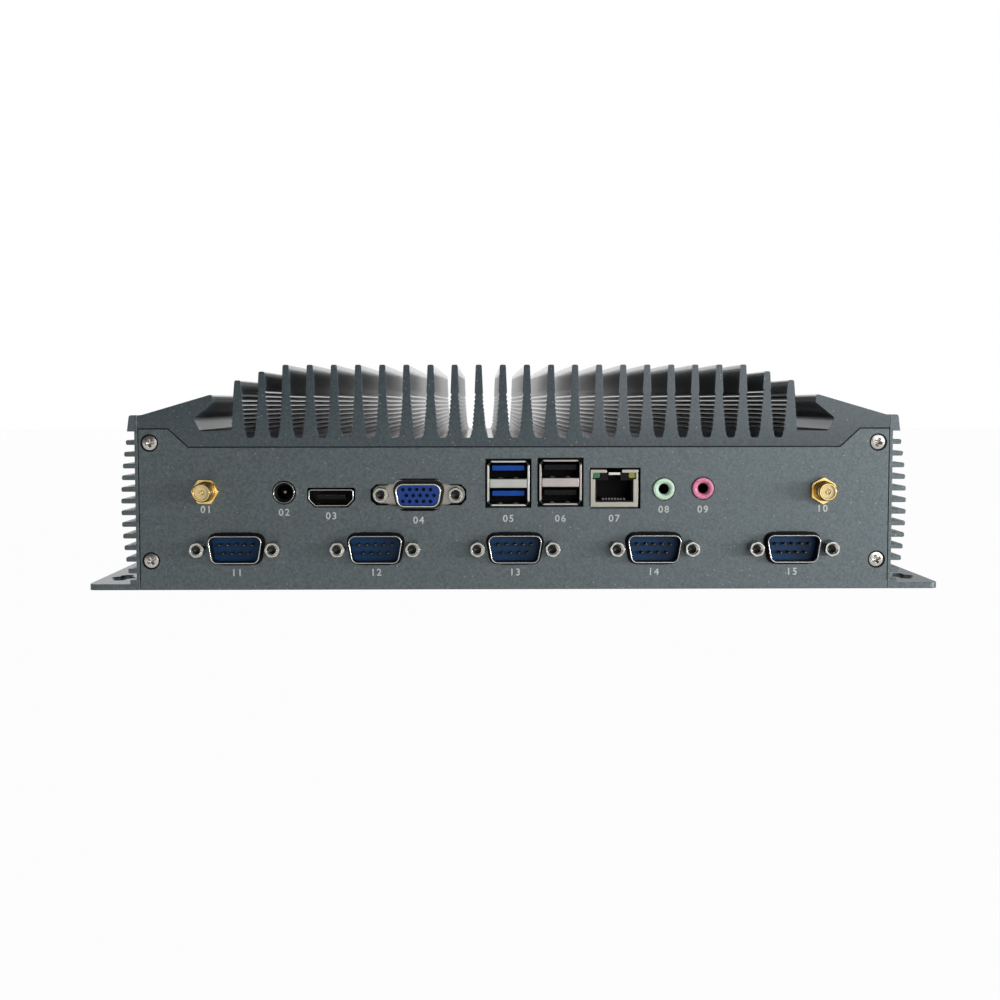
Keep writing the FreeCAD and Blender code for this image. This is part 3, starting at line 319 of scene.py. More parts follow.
def moulded(name, colour, roughness=0.45, edge_radius=0.00015, grain=0.15, coat=0.0, clear=0.0, shine=0.5):
    """Moulded plastic with a fine texture."""
    material, tree, shader = blank(name)
    skin = use(tree, MOULDED)
    edges = use(tree, ROUNDED_EDGES, radius=edge_radius)
    body = between(tree, skin["Streak"], shade(colour, 0.88), shade(colour, 1.12))
    bump = add(tree, "Bump", {"Strength": grain, "Distance": 0.00004, "Height": skin["Grain"],
                              "Normal": edges["Normal"]})
    tree.links.new(body, shader.inputs["Base Color"])
    tree.links.new(bump.outputs[0], shader.inputs["Normal"])
    shader.inputs["Roughness"].default_value = roughness
    shader.inputs["Coat Weight"].default_value = coat
    shader.inputs["Transmission Weight"].default_value = clear
    shader.inputs["Specular IOR Level"].default_value = shine
    return material


SLATE = anodised("slate anodising", (0.100, 0.122, 0.129))
SLATE_EXTRUSION = anodised("slate extrusion", (0.055, 0.075, 0.086), roughness=0.55, metal=0.1, coat=0.5,
                           shine=0.25)
NICKEL = plated("bright nickel", (0.62, 0.61, 0.57), 0.2)
DULL_NICKEL = plated("dull nickel", (0.50, 0.49, 0.45), 0.22, wave=0.2)
# nickel painted nearly black: painted shade on shell walls, bore floors and the band round the video socket
SHADED_NICKEL = plated("shaded nickel", (0.035, 0.035, 0.038), 0.38)
SCREW_METAL = plated("screw plating", (0.46, 0.44, 0.41), 0.22, wave=0.5)
GOLD = plated("gold plating", (0.84, 0.60, 0.24), 0.18, wave=0.05)
# gold painted dark brown: painted shade on contacts deep in their sockets
SHADED_PIN_GOLD = plated("gold pins in painted shade", (0.13, 0.09, 0.05), 0.35)
BRASS = plated("plain brass", (0.75, 0.6, 0.3), 0.35)
COPPER = plated("bare copper", (0.72, 0.38, 0.24), 0.35)
CREAM = moulded("amber insulator", (0.82, 0.68, 0.38), 0.5)
# real black plastic, and also the black of pieces that are painted shade in gaps, bores and behind cut-outs
BLACK_AND_SHADE = moulded("black plastic and painted shade", (0.005, 0.005, 0.006), 0.5, shine=0.12)
CHIP = moulded("chip package", (0.03, 0.03, 0.033), 0.55)
VIDEO_BLUE = moulded("royal blue plastic", (0.012, 0.052, 0.25), 0.4, shine=0.25)
SERIAL_BLUE = moulded("dark blue plastic", (0.003, 0.042, 0.125), 0.42, shine=0.25)
TONGUE_BLUE = moulded("bright blue plastic", (0.003, 0.066, 0.36), 0.4, shine=0.2)
MINT = moulded("mint green plastic", (0.62, 0.86, 0.65), 0.35, coat=0.4)
PINK = moulded("pink plastic", (0.78, 0.23, 0.38), 0.35, coat=0.4)
GREEN_LENS = moulded("green lens", (0.03, 0.22, 0.08), 0.3, clear=0.3)
YELLOW_LENS = moulded("yellow lens", (0.42, 0.42, 0.04), 0.3, clear=0.3)
INK = moulded("pale ink", (0.62, 0.63, 0.62), 0.6)


def circuit_board():
    """Green solder mask over copper tracks: a fine grid of lines that stand a little proud."""
    material, tree, shader = blank("solder mask")
    place = add(tree, "TexCoord").outputs["Object"]
    tracks = add(tree, "TexBrick", {"Vector": place, "Scale": 260.0, "Mortar Size": 0.05,
                                    "Color1": (0.012, 0.11, 0.05, 1), "Color2": (0.014, 0.13, 0.055, 1),
                                    "Mortar": (0.03, 0.2, 0.09, 1)})
    bump = add(tree, "Bump", {"Strength": 0.3, "Distance": 0.00005, "Height": tracks.outputs["Fac"]})
    tree.links.new(tracks.outputs["Color"], shader.inputs["Base Color"])
    tree.links.new(bump.outputs[0], shader.inputs["Normal"])
    shader.inputs["Roughness"].default_value = 0.35
    shader.inputs["Coat Weight"].default_value = 0.3
    return material


BOARD = circuit_board()
FLANGE_NICKEL = plated("warm nickel flange", (0.35, 0.335, 0.29), 0.3)
DATA_NICKEL = plated("pale nickel", (0.52, 0.53, 0.50), 0.3)
WARM_NICKEL = plated("rosy nickel", (0.40, 0.36, 0.345), 0.3)
PIN_STEEL = plated("dark pin", (0.26, 0.26, 0.25), 0.35)
DATA_BAR = plated("satin nickel", (0.42, 0.43, 0.395), 0.4)

FINISHES = {
    "anodised_case": SLATE, "dark_screw": SCREW_METAL, "nickel_shell": NICKEL, "nickel_screw": DULL_NICKEL,
    "gold_plate": GOLD, "cream_insulator": CREAM, "black_plastic": BLACK_AND_SHADE, "video_blue": VIDEO_BLUE,
    # the data sockets' blue inserts are painted black: painted shade deep in the mouths
    "serial_blue": SERIAL_BLUE, "data_blue": BLACK_AND_SHADE, "line_green": MINT, "microphone_pink": PINK,
    "lamp_green": GREEN_LENS, "lamp_yellow": YELLOW_LENS, "board_green": BOARD, "chip_black": CHIP,
    "copper": COPPER, "standoff_brass": BRASS, "button_metal": NICKEL,
}
for entry in frame["record"]["subparts"]:
    mesh = nodes[entry["node"]].data
    mesh.materials.clear()
    mesh.materials.append(FINISHES[entry["material_slot"]])


# ---------------------------------------------------------------- outlines and rings

def rounded(corners, steps=6):
    """A closed outline, counter-clockwise, whose corners (across, up, radius) are arcs tangent to both sides.

    A point of an arc is its centre plus an arm that turns evenly from the arc's first point to its last.
    """
    corners = np.asarray(corners, float)
    point, radius = corners[:, :2], corners[:, 2:]
    back, ahead = np.roll(point, 1, axis=0) - point, np.roll(point, -1, axis=0) - point
    back /= np.linalg.norm(back, axis=1, keepdims=True)
    ahead /= np.linalg.norm(ahead, axis=1, keepdims=True)
    half = np.arccos(np.clip((back * ahead).sum(axis=1, keepdims=True), -1, 1)) / 2
    half = np.minimum(half, np.pi / 2 - 1e-6)
    centre = point + (back + ahead) * radius / (2 * np.cos(half) * np.sin(half))
    first = (point + back * radius / np.tan(half) - centre)[:, None]
    last = (point + ahead * radius / np.tan(half) - centre)[:, None]
    sweep = (np.pi - 2 * half)[:, None]
    share = np.linspace(0, 1, steps + 1)[None, :, None]
    arm = (first * np.sin((1 - share) * sweep) + last * np.sin(share * sweep)) / np.sin(sweep)
    return (centre[:, None] + arm).reshape(-1, 2)


def inset(path, distance):
    """A closed path moved inwards: each point moves along the mitre of the two sides that meet in it."""
    side = np.roll(path, -1, axis=0) - path
    normal = np.stack([-side[:, 1], side[:, 0]], axis=1) / np.linalg.norm(side, axis=1, keepdims=True)
    before = np.roll(normal, 1, axis=0)
    mitre = (normal + before) / (1 + (normal * before).sum(axis=1, keepdims=True))
    return path + mitre * distance


def ring(path, profile, centre=(0, 0)):
    """A path's insets as rows: each (inset, out) of the profile is the path moved inwards, at that height."""
    rows = np.stack([inset(path, distance) for distance, _ in profile])
    out = np.array([height for _, height in profile])[:, None]
    return facing_out(centre[0] + rows[..., 0], out, centre[1] + rows[..., 1])


def rim(wall, top, radius):
    """The profile over a wall's edge: half a circle's worth of points from its outer to its inner side."""
    angle = np.linspace(np.pi, 0, 7)
    return list(zip(wall / 2 + wall / 2 * np.cos(angle), top - radius + radius * np.sin(angle)))


def plate(path, near, far, centre=(0, 0)):
    """An outline given thickness along the way out of the panel, with both faces closed."""
    return patch(ring(path, [(0, near), (0, far)], centre), wrap=True, first_cap=True, last_cap=True)


def block(left, right, near, far, bottom, top, edge=0.0):
    """A block between two distances out of the panel, its four long edges rounded."""
    path = rounded([(left, bottom, edge), (right, bottom, edge), (right, top, edge), (left, top, edge)],
                   4 if edge else 1)
    if not edge:
        path = path[::2]
    return plate(path, near, far)


def shaft(rows, centre, count=48, turn=0.0, pitch=0.7):
    """Rows of (radius, flats, thread depth, out) swept round an axis that leaves the panel at centre.

    In each direction the radius is the smaller of the row's own and that of a hexagon with those flats,
    less the depth times a triangular wave that climbs one pitch a turn.
    """
    radius, flats, depth, out = np.array(rows, float).T[..., None]
    angle = turns(count)
    wave = np.abs(2 * ((out / pitch + angle / (2 * np.pi)) % 1) - 1)
    reach = np.minimum(radius, hexagon(flats, angle + turn)) - depth * wave
    return facing_out(centre[0] + reach * np.cos(angle), out, centre[1] + reach * np.sin(angle))


ANY = 1e6


def threaded(radius, depth, near, far, step=0.1):
    """Rows of a thread between two distances out."""
    count = int(abs(far - near) / step)
    return [(radius, ANY, depth, out) for out in np.linspace(near, far, count + 1)]


# ---------------------------------------------------------------- top heat sink

FIN_PITCH = 8.0
GROOVE_PITCH = 1.43
FIRST_GROOVE = 52.9
GROOVE_DEPTH = 0.32
FLOOR = 53.1
FIN_ROOT, FIN_FOOT, FIN_WAIST = 50.8, 51.8, 64.8
TALL_FIN_TOP = 75.05
# The two outermost fins of each side, by their distance across: tops, and numbers of grooves.
LOW_FIN_TOPS = {92: 69.9, 84: 72.8}
LOW_FIN_GROOVES = {92: 8, 84: 10}
TALL_FIN_GROOVES = 9


def fin(across, top, grooves):
    """A fin's outline from its right foot over the tip to its left foot.

    The half width falls in straight lines from foot to tip, less the groove depth times the size of a
    sine that goes through half a turn every groove; the tip is two quarter circles.
    """
    tip = 0.5
    grooved = FIRST_GROOVE + GROOVE_PITCH * np.arange(grooves * 6 + 1) / 6
    up = np.concatenate([[FIN_ROOT, FIN_FOOT], grooved, [top - tip]])
    half = np.interp(up, [FIN_ROOT, FIN_FOOT, FIN_WAIST, top], [3.05, 2.5, 1.45, 1.0])
    inside = (up > FIRST_GROOVE) & (up < grooved[-1])
    half -= inside * GROOVE_DEPTH * np.abs(np.sin(np.pi * (up - FIRST_GROOVE) / GROOVE_PITCH))
    quarter = np.linspace(0, np.pi / 2, 6)
    half = np.concatenate([half, tip + tip * np.cos(quarter)])
    up = np.concatenate([up, top - tip + tip * np.sin(quarter)])
    return np.stack([np.concatenate([across + half, across - half[::-1]]),
                     np.concatenate([up, up[::-1]])], axis=1)


def top_heatsink():
    """The extrusion: a body with winged shoulders and 24 grooved fins, from one panel face to the other."""
    right = [(108.55, 47.92, 0.3), (115.05, 54.0, 0.3), (125.2, 54.0, 0.15), (125.2, 58.1, 0.5),
             (100.35, 65.4, 0.8), (100.35, 62.5, 0.4), (106.7, 57.4, 0.5), (104.6, FLOOR, 1.0)]
    steps = 6
    body = rounded(right + [(-across, up, radius) for across, up, radius in reversed(right)], steps)
    places = FIN_PITCH * (11.5 - np.arange(24))
    fins = [fin(across, LOW_FIN_TOPS.get(abs(across), TALL_FIN_TOP),
                LOW_FIN_GROOVES.get(abs(across), TALL_FIN_GROOVES)) for across in places]
    fins[0] = fins[0][np.argmax(fins[0][:, 1] > FLOOR):]
    fins[0] = np.vstack([[fins[0][0, 0], FLOOR], fins[0]])
    fins[-1] = fins[0][::-1] * [-1, 1]
    split = len(right) * (steps + 1)
    outline = np.concatenate([body[:split], *fins, body[split:]])
    ends = np.array([PANEL_FACE, REAR_FACE])[:, None]
    points = np.stack(np.broadcast_arrays(outline[:, 0], ends, outline[:, 1]), axis=-1)
    make("finned_top", [patch(points, wrap=True, first_cap=True, last_cap=True)],
         SLATE_EXTRUSION, ["top_heatsink"])


top_heatsink()


# ---------------------------------------------------------------- screws

def cross_edge(angle, half_width=0.48, half_length=1.45):
    """Radius of a cross's outline in each direction: the farther of its two bars."""
    level, upright = np.abs(np.cos(angle)) + 1e-9, np.abs(np.sin(angle)) + 1e-9
    return np.maximum(np.minimum(half_length / level, half_width / upright),
                      np.minimum(half_length / upright, half_width / level))


def recessed_screw(place, across, up, out, turn, length):
    """A countersunk screw with a cross recess, in the axes of the face that it holds.

    Inside the cross the rows shrink towards the middle as they go deeper; outside it they widen to the
    head's rim over a dome that falls with the square of the radius; then come cone and shank.
    """
    angle = turns(72)
    edge = cross_edge(angle + turn)
    inner = [edge * share for share in (0.05, 0.55, 0.86, 1.0)]
    depths = [-1.3, -1.15, -0.85, -0.16]
    outer = [edge * 1.07 + (2.42 - edge * 1.07) * share for share in (0.0, 0.2, 0.45, 0.7, 1.0)]
    dome = [-0.06 - 0.26 * (reach / 2.5) ** 2 for reach in outer]
    rest = [(2.5, -0.42), (1.3, -1.6), (1.3, -length)]
    reach = np.stack(inner + outer + [np.full(72, radius) for radius, _ in rest])
    height = np.stack([np.full(72, depth) for depth in depths] + dome + [np.full(72, low) for _, low in rest])
    points = (np.asarray(place) + (reach * np.cos(angle))[..., None] * across
              + (reach * np.sin(angle))[..., None] * up + height[..., None] * out)
    return patch(points, wrap=True, first_cap=True, last_cap=True)


def screw_seat_shadow(place, across, up, out):
    """Painted shade in the round gap between a screw's head and its hole: a flat black ring at the face, with
    a rim behind.
    """
    angle = turns(48)
    radius = np.array([2.5, 2.95, 2.95, 2.5, 2.5])[:, None]
    height = np.array([0.012, 0.012, -0.3, -0.5, 0.012])[:, None]
    points = (np.asarray(place) + (radius * np.cos(angle))[..., None] * across
              + (radius * np.sin(angle))[..., None] * up + (height + 0 * angle)[..., None] * out)
    return patch(points, wrap=True)


rng = np.random.default_rng(7)
X_AXIS, Y_AXIS, Z_AXIS = np.eye(3)
CASE_SCREWS = [(across, up) for across in (-121.5, 121.5) for up in (9.85, 49.2)]
make("case_screws",
     [recessed_screw((across, y, up), X_AXIS, Z_AXIS, out, rng.uniform(0, np.pi / 2), 8)
      for y, out in ((PANEL_FACE, -Y_AXIS), (REAR_FACE, Y_AXIS)) for across, up in CASE_SCREWS],
     SCREW_METAL, ["panel_screws"])
make("base_plate_screws",
     [recessed_screw((across, along, 0), X_AXIS, Y_AXIS, -Z_AXIS, rng.uniform(0, np.pi / 2), 5)
      for across in (-116, 116) for along in (-60, 60)],
     SCREW_METAL, ["base_screws"])


make("screw_seat_rings",
     [screw_seat_shadow((across, y, up), X_AXIS, Z_AXIS, out)
      for y, out in ((PANEL_FACE, -Y_AXIS), (REAR_FACE, Y_AXIS)) for across, up in CASE_SCREWS], BLACK_AND_SHADE)


# ---------------------------------------------------------------- painted shade in the gaps round the panels

GAP = 0.34
TOP_SEAM = np.array([(-125.0, 53.9), (-115.2, 53.9), (-108.7, 47.8),
                     (108.7, 47.8), (115.2, 53.9), (125.0, 53.9)])
SIDE_SEAMS = [np.array([(across, 3.2), (across, 53.9)]) for across in (-125.2, 125.2)]


def gap_shade_strip(line, face, out):
    """A dark strip of painted shade along a line on a panel's face: the line moved half a gap to either side
    of itself.

    Its four rows are the two edges at the face and the same two edges half a millimetre behind it.
    """
    along = np.diff(line, axis=0)
    side = np.stack([-along[:, 1], along[:, 0]], axis=1) / np.linalg.norm(along, axis=1, keepdims=True)
    side = (np.vstack([side, side[-1:]]) + np.vstack([side[:1], side])) / 2
    side /= (side * side).sum(axis=1, keepdims=True)
    edges = [line + side * GAP / 2, line - side * GAP / 2]
    rows = [(edges[0], 0.01), (edges[1], 0.01), (edges[1], -0.5), (edges[0], -0.5)]
    grid = np.stack([np.stack([row[:, 0], np.full(len(row), face + out * high), row[:, 1]], axis=1)
                     for row, high in rows], axis=1)
    return patch(grid, wrap=True, first_cap=True, last_cap=True)


make("panel_gap_shade",
     [gap_shade_strip(line, face, out) for face, out in ((PANEL_FACE, -1), (REAR_FACE, 1))
      for line in (TOP_SEAM, *SIDE_SEAMS)], BLACK_AND_SHADE)


# ---------------------------------------------------------------- D-shaped sockets

SLOPE = math.tan(math.radians(10))
JACKSCREW_SPACING = 12.495
SERIAL_UP = 13.8
SERIAL_ACROSS = 46.5 * (np.arange(SERIAL_SOCKETS) - 2)
ANALOG = (-32.2, 31.8)
# Width, height and corner radius; the round corners pull in the width that shows.
SERIAL_D = (18.7, 9.3, 2.3)
ANALOG_D = (16.33, 7.9, 2.6)
SERIAL_FLANGE_HALF = (15.4, 6.25)
SERIAL_PIN_RADIUS, SERIAL_PIN_PITCH, SERIAL_PIN_ROW = 0.45, 2.77, 1.42
VIDEO_JACKSCREW_FOOT = -2.4


def d_outline(width, height, radius, steps=8):
    """The D: a level top of the full width, both ends sloping in, four round corners."""
    foot = width / 2 - height * SLOPE
    return rounded([(-foot, -height / 2, radius), (foot, -height / 2, radius),
                    (width / 2, height / 2, radius), (-width / 2, height / 2, radius)], steps)


def jackscrew(centre, foot, turn):
    """A hexagonal jackscrew: chamfered corners, countersunk mouth, threaded bore, round shank."""
    rows = [(1.3, ANY, 0, foot - 2), (1.3, ANY, 0, foot), (2.3, ANY, 0, foot), (3, 4.76, 0, foot + 0.3),
            (3, 4.76, 0, foot + 4.5), (2.45, 4.6, 0, foot + 5), (1.85, ANY, 0, foot + 5),
            (1.4, ANY, 0, foot + 4.5), *threaded(1.4, 0.16, foot + 4.4, foot + 2.6),
            (1.0, ANY, 0, foot + 2.5)]
    return patch(shaft(rows, centre, 36, turn, 0.635), wrap=True, first_cap=True, last_cap=True)


serial_spots = [(across + side * JACKSCREW_SPACING, SERIAL_UP)
                for across in SERIAL_ACROSS for side in (-1, 1)]
video_spots = [(ANALOG[0] + side * JACKSCREW_SPACING, ANALOG[1]) for side in (-1, 1)]
make("jackscrew_set",
     [jackscrew(spot, 0.0, rng.uniform(0, np.pi / 3)) for spot in serial_spots]
     + [jackscrew(spot, VIDEO_JACKSCREW_FOOT, rng.uniform(0, np.pi / 3)) for spot in video_spots],
     DULL_NICKEL, ["jackscrews"])

# painted shade: dark cones deep in the jackscrews' bores
make("jackscrew_bore_shade",
     [patch(turned([(1.38, foot + 2.0), (1.38, foot + 3.4), (0.2, foot + 2.7)], spot, 20),
            wrap=True, first_cap=True, last_cap=True)
      for spots, foot in ((serial_spots, 0.0), (video_spots, VIDEO_JACKSCREW_FOOT)) for spot in spots],
     SHADED_NICKEL)

serial_path = d_outline(*SERIAL_D)
flange_reach = np.maximum(np.abs(serial_path[:, :1]) / SERIAL_FLANGE_HALF[0],
                          np.abs(serial_path[:, 1:]) / SERIAL_FLANGE_HALF[1])
flange_path = serial_path / flange_reach
for number, across in enumerate(SERIAL_ACROSS, start=1):
    rows = [(0, -2), (0, 3.4), (0.48, 3.4), (0.48, -3)]
    centre = (across, SERIAL_UP)
    shell = ring(serial_path, rows, centre)
    flange = facing_out(across + flange_path[:, 0], np.array([-3.0, -2.0])[:, None],
                        SERIAL_UP + flange_path[:, 1])
    # the shell wall and flange are painted nearly black: painted shade
    make(f"serial_shell_drawn_{number}", [patch(np.concatenate([shell, flange, shell[:1]]), wrap=True)],
         SHADED_NICKEL, [f"serial_shell_{number}"])
    lip = [(0.04, 3.38)] + [(0.04 + deep, out) for deep, out in rim(0.34, 4.0, 0.17)]
    lip += [(0.42, -1.4), (0.36, -1.4), (0.36, 3.38), (0.04, 3.38)]
    make(f"serial_shell_lip_{number}", [patch(ring(serial_path, lip, centre), wrap=True)], NICKEL)
    # painted shade: a flat black ring round the shell, in the gap between shell and cut-out
    gap = [(-0.75, -0.6), (-0.75, 0.012), (0.1, 0.012), (0.1, -0.6), (-0.75, -0.6)]
    make(f"serial_socket_gap_shade_{number}", [patch(ring(serial_path, gap, centre), wrap=True)], BLACK_AND_SHADE)
    make(f"serial_insulator_face_{number}", [plate(inset(serial_path, 0.4), -2.2, -1.45, centre)],
         SERIAL_BLUE)


def contact_pin(centre):
    """A round pin from the insulator out, its tip half a ball."""
    tip = np.linspace(0, np.pi / 2, 5)[:-1]
    radius, shoulder = SERIAL_PIN_RADIUS, 1.8
    rows = [(radius, ANY, 0, -1.6), (radius, ANY, 0, shoulder)]
    rows += [(radius * np.cos(a), ANY, 0, shoulder + radius * np.sin(a)) for a in tip]
    return patch(shaft(rows, centre, 12), wrap=True, first_cap=True, last_cap=True)


make("serial_contact_pins",
     [contact_pin((across + (i - (count - 1) / 2) * SERIAL_PIN_PITCH, SERIAL_UP + up))
      for across in SERIAL_ACROSS for count, up in ((5, SERIAL_PIN_ROW), (4, -SERIAL_PIN_ROW))
      for i in range(count)],
     SHADED_PIN_GOLD, ["serial_pins"])


def analog_video_shell():
    """The video socket's shell on its flange, whose ends narrow to a round lug at each jackscrew; dark
    painted shade round the D and behind the flange.
    """
    path = d_outline(*ANALOG_D)
    shell = ring(path, [(0, -3.3), (0, 2.6), (0.6, 2.6), (0.6, -3.3), (0, -3.3)], ANALOG)
    lip = ring(path, [(0, 2.6)] + rim(0.6, 3.4, 0.3) + [(0.6, 2.6), (0, 2.6)], ANALOG)
    # painted shade: a dark band round the D, in front of the flange
    recess = ring(path, [(-0.9, -2.45), (-0.9, -2.0), (0.1, -2.0), (0.1, -2.45), (-0.9, -2.45)], ANALOG)
    across = np.concatenate([np.linspace(-15.495, -12.5, 12), np.linspace(-12, 12, 49),
                             np.linspace(12.5, 15.495, 12)])
    beyond = np.maximum(np.abs(across) - JACKSCREW_SPACING, 0)
    lug = np.sqrt(np.maximum(9 - beyond ** 2, 0))
    share = np.clip((10.9 - np.abs(across)) / 3.2, 0, 1)
    half = lug + (4.9 - lug) * share * share * (3 - 2 * share)
    flange = np.concatenate([np.stack([across, -half], axis=1), np.stack([across, half], axis=1)[::-1][1:-1]])
    make("analog_video_flange", [plate(flange, -3.4, -2.4, ANALOG)], FLANGE_NICKEL, ["analog_video_shell"])
    make("analog_video_shell_wall", [patch(shell, wrap=True), patch(recess, wrap=True)], SHADED_NICKEL)
    make("analog_video_shell_lip", [patch(lip, wrap=True)], NICKEL)
    # painted shade: a black sheet behind the flange, seen through the cut-out
    make("analog_video_shade_sheet",
         [block(ANALOG[0] - 17, ANALOG[0] + 17, -3.8, -3.45, ANALOG[1] - 6.2, ANALOG[1] + 6.2)], BLACK_AND_SHADE)


analog_video_shell()


# ---------------------------------------------------------------- antenna jacks

ANTENNA_UP = 33.0
ANTENNAS = {"left": (-103.0, math.radians(32)), "right": (103.0, math.radians(2))}

for side, (across, turn) in ANTENNAS.items():
    rows = [(4.6, 8, 0, -4.5), (4.6, 8, 0, -2), (2.8, ANY, 0, -2), (2.8, ANY, 0, 1.9), (2.95, ANY, 0, 2.0),
            *threaded(3.17, 0.14, 2.1, 7.1), (3.0, ANY, 0, 7.2), (2.75, ANY, 0, 8), (2.45, ANY, 0, 8),
            (2.35, ANY, 0, 7.85), (2.35, ANY, 0, 0)]
    make(f"antenna_thread_{side}", [patch(shaft(rows, (across, ANTENNA_UP), 64, 0, 0.7056),
                                          wrap=True, first_cap=True, last_cap=True)],
         GOLD, [f"antenna_jack_{side}"])

nut_rows = [(4.62, 8, 0, 0), (4.62, 8, 0, 1.8), (4.4, 7.9, 0, 2), (3.4, ANY, 0, 2), (3.0, ANY, 0, 1.7),
            (3.0, ANY, 0, 0), (4.62, 8, 0, 0)]
make("antenna_nuts_chamfered",
     [patch(shaft(nut_rows, (across, ANTENNA_UP), 72, turn), wrap=True)
      for across, turn in ANTENNAS.values()], GOLD, ["antenna_nuts"])
core_rows = [(2.34, ANY, 0, 0), (2.34, ANY, 0, 7.4), (2.2, ANY, 0, 7.5), (0.95, ANY, 0, 7.5),
             (0.85, ANY, 0, 7.0)]
make("antenna_insulator_discs",
     [patch(shaft(core_rows, (across, ANTENNA_UP), 40), wrap=True, first_cap=True, last_cap=True)
      for across, _ in ANTENNAS.values()], CREAM, ["antenna_insulators"])
pin_rows = [(0.5, ANY, 0, 6.9), (0.5, ANY, 0, 7.55), (0.42, ANY, 0, 7.65), (0.24, ANY, 0, 7.65),
            (0.22, ANY, 0, 7.2)]
make("antenna_centre_contacts",
     [patch(shaft(pin_rows, (across, ANTENNA_UP), 20), wrap=True, first_cap=True, last_cap=True)
      for across, _ in ANTENNAS.values()], GOLD, ["antenna_contacts"])


# ---------------------------------------------------------------- round sockets

BOARD_TOP = 27.3
AUDIO_HALF_WIDTH, AUDIO_TOP = 5.4, 5.2


def rectangle_reach(angle, right, bottom, top):
    """Distance from the axis to a rectangle's edge in each direction."""
    level, upright = np.cos(angle), np.sin(angle)
    return np.minimum(right / np.maximum(np.abs(level), 1e-9),
                      np.where(upright > 0, top, bottom) / np.maximum(np.abs(upright), 1e-9))


def audio_jack(node, centre, material):
    """A jack in one swept form: bore, rounded nozzle, and the rectangular body behind the panel."""
    low = centre[1] - BOARD_TOP
    half = AUDIO_HALF_WIDTH
    corners = np.arctan2([AUDIO_TOP, AUDIO_TOP, -low, -low], [half, -half, -half, half]) % (2 * np.pi)
    angle = np.sort(np.concatenate([turns(48), corners]))
    bore = [(1.75, -13.4), (1.75, -0.35), (1.85, -0.1), (2.3, 0.5), (2.5, 0.6), (3.3, 0.6),
            (3.5, 0.53), (3.6, 0.3), (3.6, -2)]
    body = rectangle_reach(angle, half, low, AUDIO_TOP)
    reach = np.stack([np.full(angle.shape, radius) for radius, _ in bore] + [body, body])
    out = np.array([height for _, height in bore] + [-2, -15])[:, None]
    points = facing_out(centre[0] + reach * np.cos(angle), out, centre[1] + reach * np.sin(angle))
    make(f"{node}_moulding", [patch(points, wrap=True, first_cap=True, last_cap=True)], material, [node])


def lining(name, centre, radius, near, far, material, thick=0.12):
    """A thin closed tube that lines a bore, with a floor."""
    rows = [(radius, near), (radius, far), (radius - thick, far), (radius - thick, near + 0.2)]
    grid = turned(rows, centre, 40)
    make(name, [patch(grid, wrap=True, first_cap=True, last_cap=True)], material)


LINE, MICROPHONE, POWER = (49.8, 33.6), (62.9, 33.8), (-77.0, 32.6)
audio_jack("line_jack", LINE, MINT)
audio_jack("microphone_jack", MICROPHONE, PINK)
# painted shade: black linings darken the audio jacks' bores
lining("line_bore_shade_lining", LINE, 1.74, -12, -0.5, BLACK_AND_SHADE)
lining("microphone_bore_shade_lining", MICROPHONE, 1.74, -12, -0.5, BLACK_AND_SHADE)

sleeve_rows = [(3.95, -12), (3.95, -1.2), (3.6, -1.0), (3.58, 0.2), (3.5, 0.36), (3.42, 0.38), (3.35, 0.32),
               (2.95, -1.7), (2.95, -3.2), (3.1, -3.4), (3.1, -12), (3.95, -12)]
make("power_sleeve_ring", [patch(turned(sleeve_rows, POWER, 64), wrap=True)], NICKEL, ["power_jack_sleeve"])
lining("power_bore_lining", POWER, 2.97, -11.9, -1.75, BLACK_AND_SHADE, 0.4)
collar_rows = [(4.7, 0.006), (4.0, 0.006), (4.0, -1.4), (4.6, -1.4), (4.7, 0.006)]
make("power_hole_collar", [patch(turned(collar_rows, POWER, 64), wrap=True)], SLATE)
power_pin_rows = [(0.8, -12), (0.8, -3.6), (0.65, -3.2), (0.4, -3.0)]
make("power_centre_pin",
     [patch(turned(power_pin_rows, POWER, 32), wrap=True, first_cap=True, last_cap=True)],
     PIN_STEEL, ["power_jack_pin"])


# ---------------------------------------------------------------- flat sockets

DIGITAL = (-61.3, 30.9)
digital_path = rounded([(-5.3, -2.8, 0.9), (5.3, -2.8, 0.9), (7.5, -0.6, 0.9),
                        (7.5, 2.8, 1.0), (-7.5, 2.8, 1.0), (-7.5, -0.6, 0.9)], 4)
digital_shell = ring(digital_path, [(0, -11)] + rim(0.34, 0.6, 0.17) + [(0.34, -11), (0, -11)], DIGITAL)
make("digital_video_lip", [patch(digital_shell, wrap=True)], NICKEL, ["digital_video_shell"])
make("digital_video_contacts",
     [block(DIGITAL[0] - 4.3 + 0.45 * i, DIGITAL[0] - 4.1 + 0.45 * i, -7.5, -1.2,
            DIGITAL[1] + 0.8, DIGITAL[1] + 0.86) for i in range(20)], PIN_STEEL)

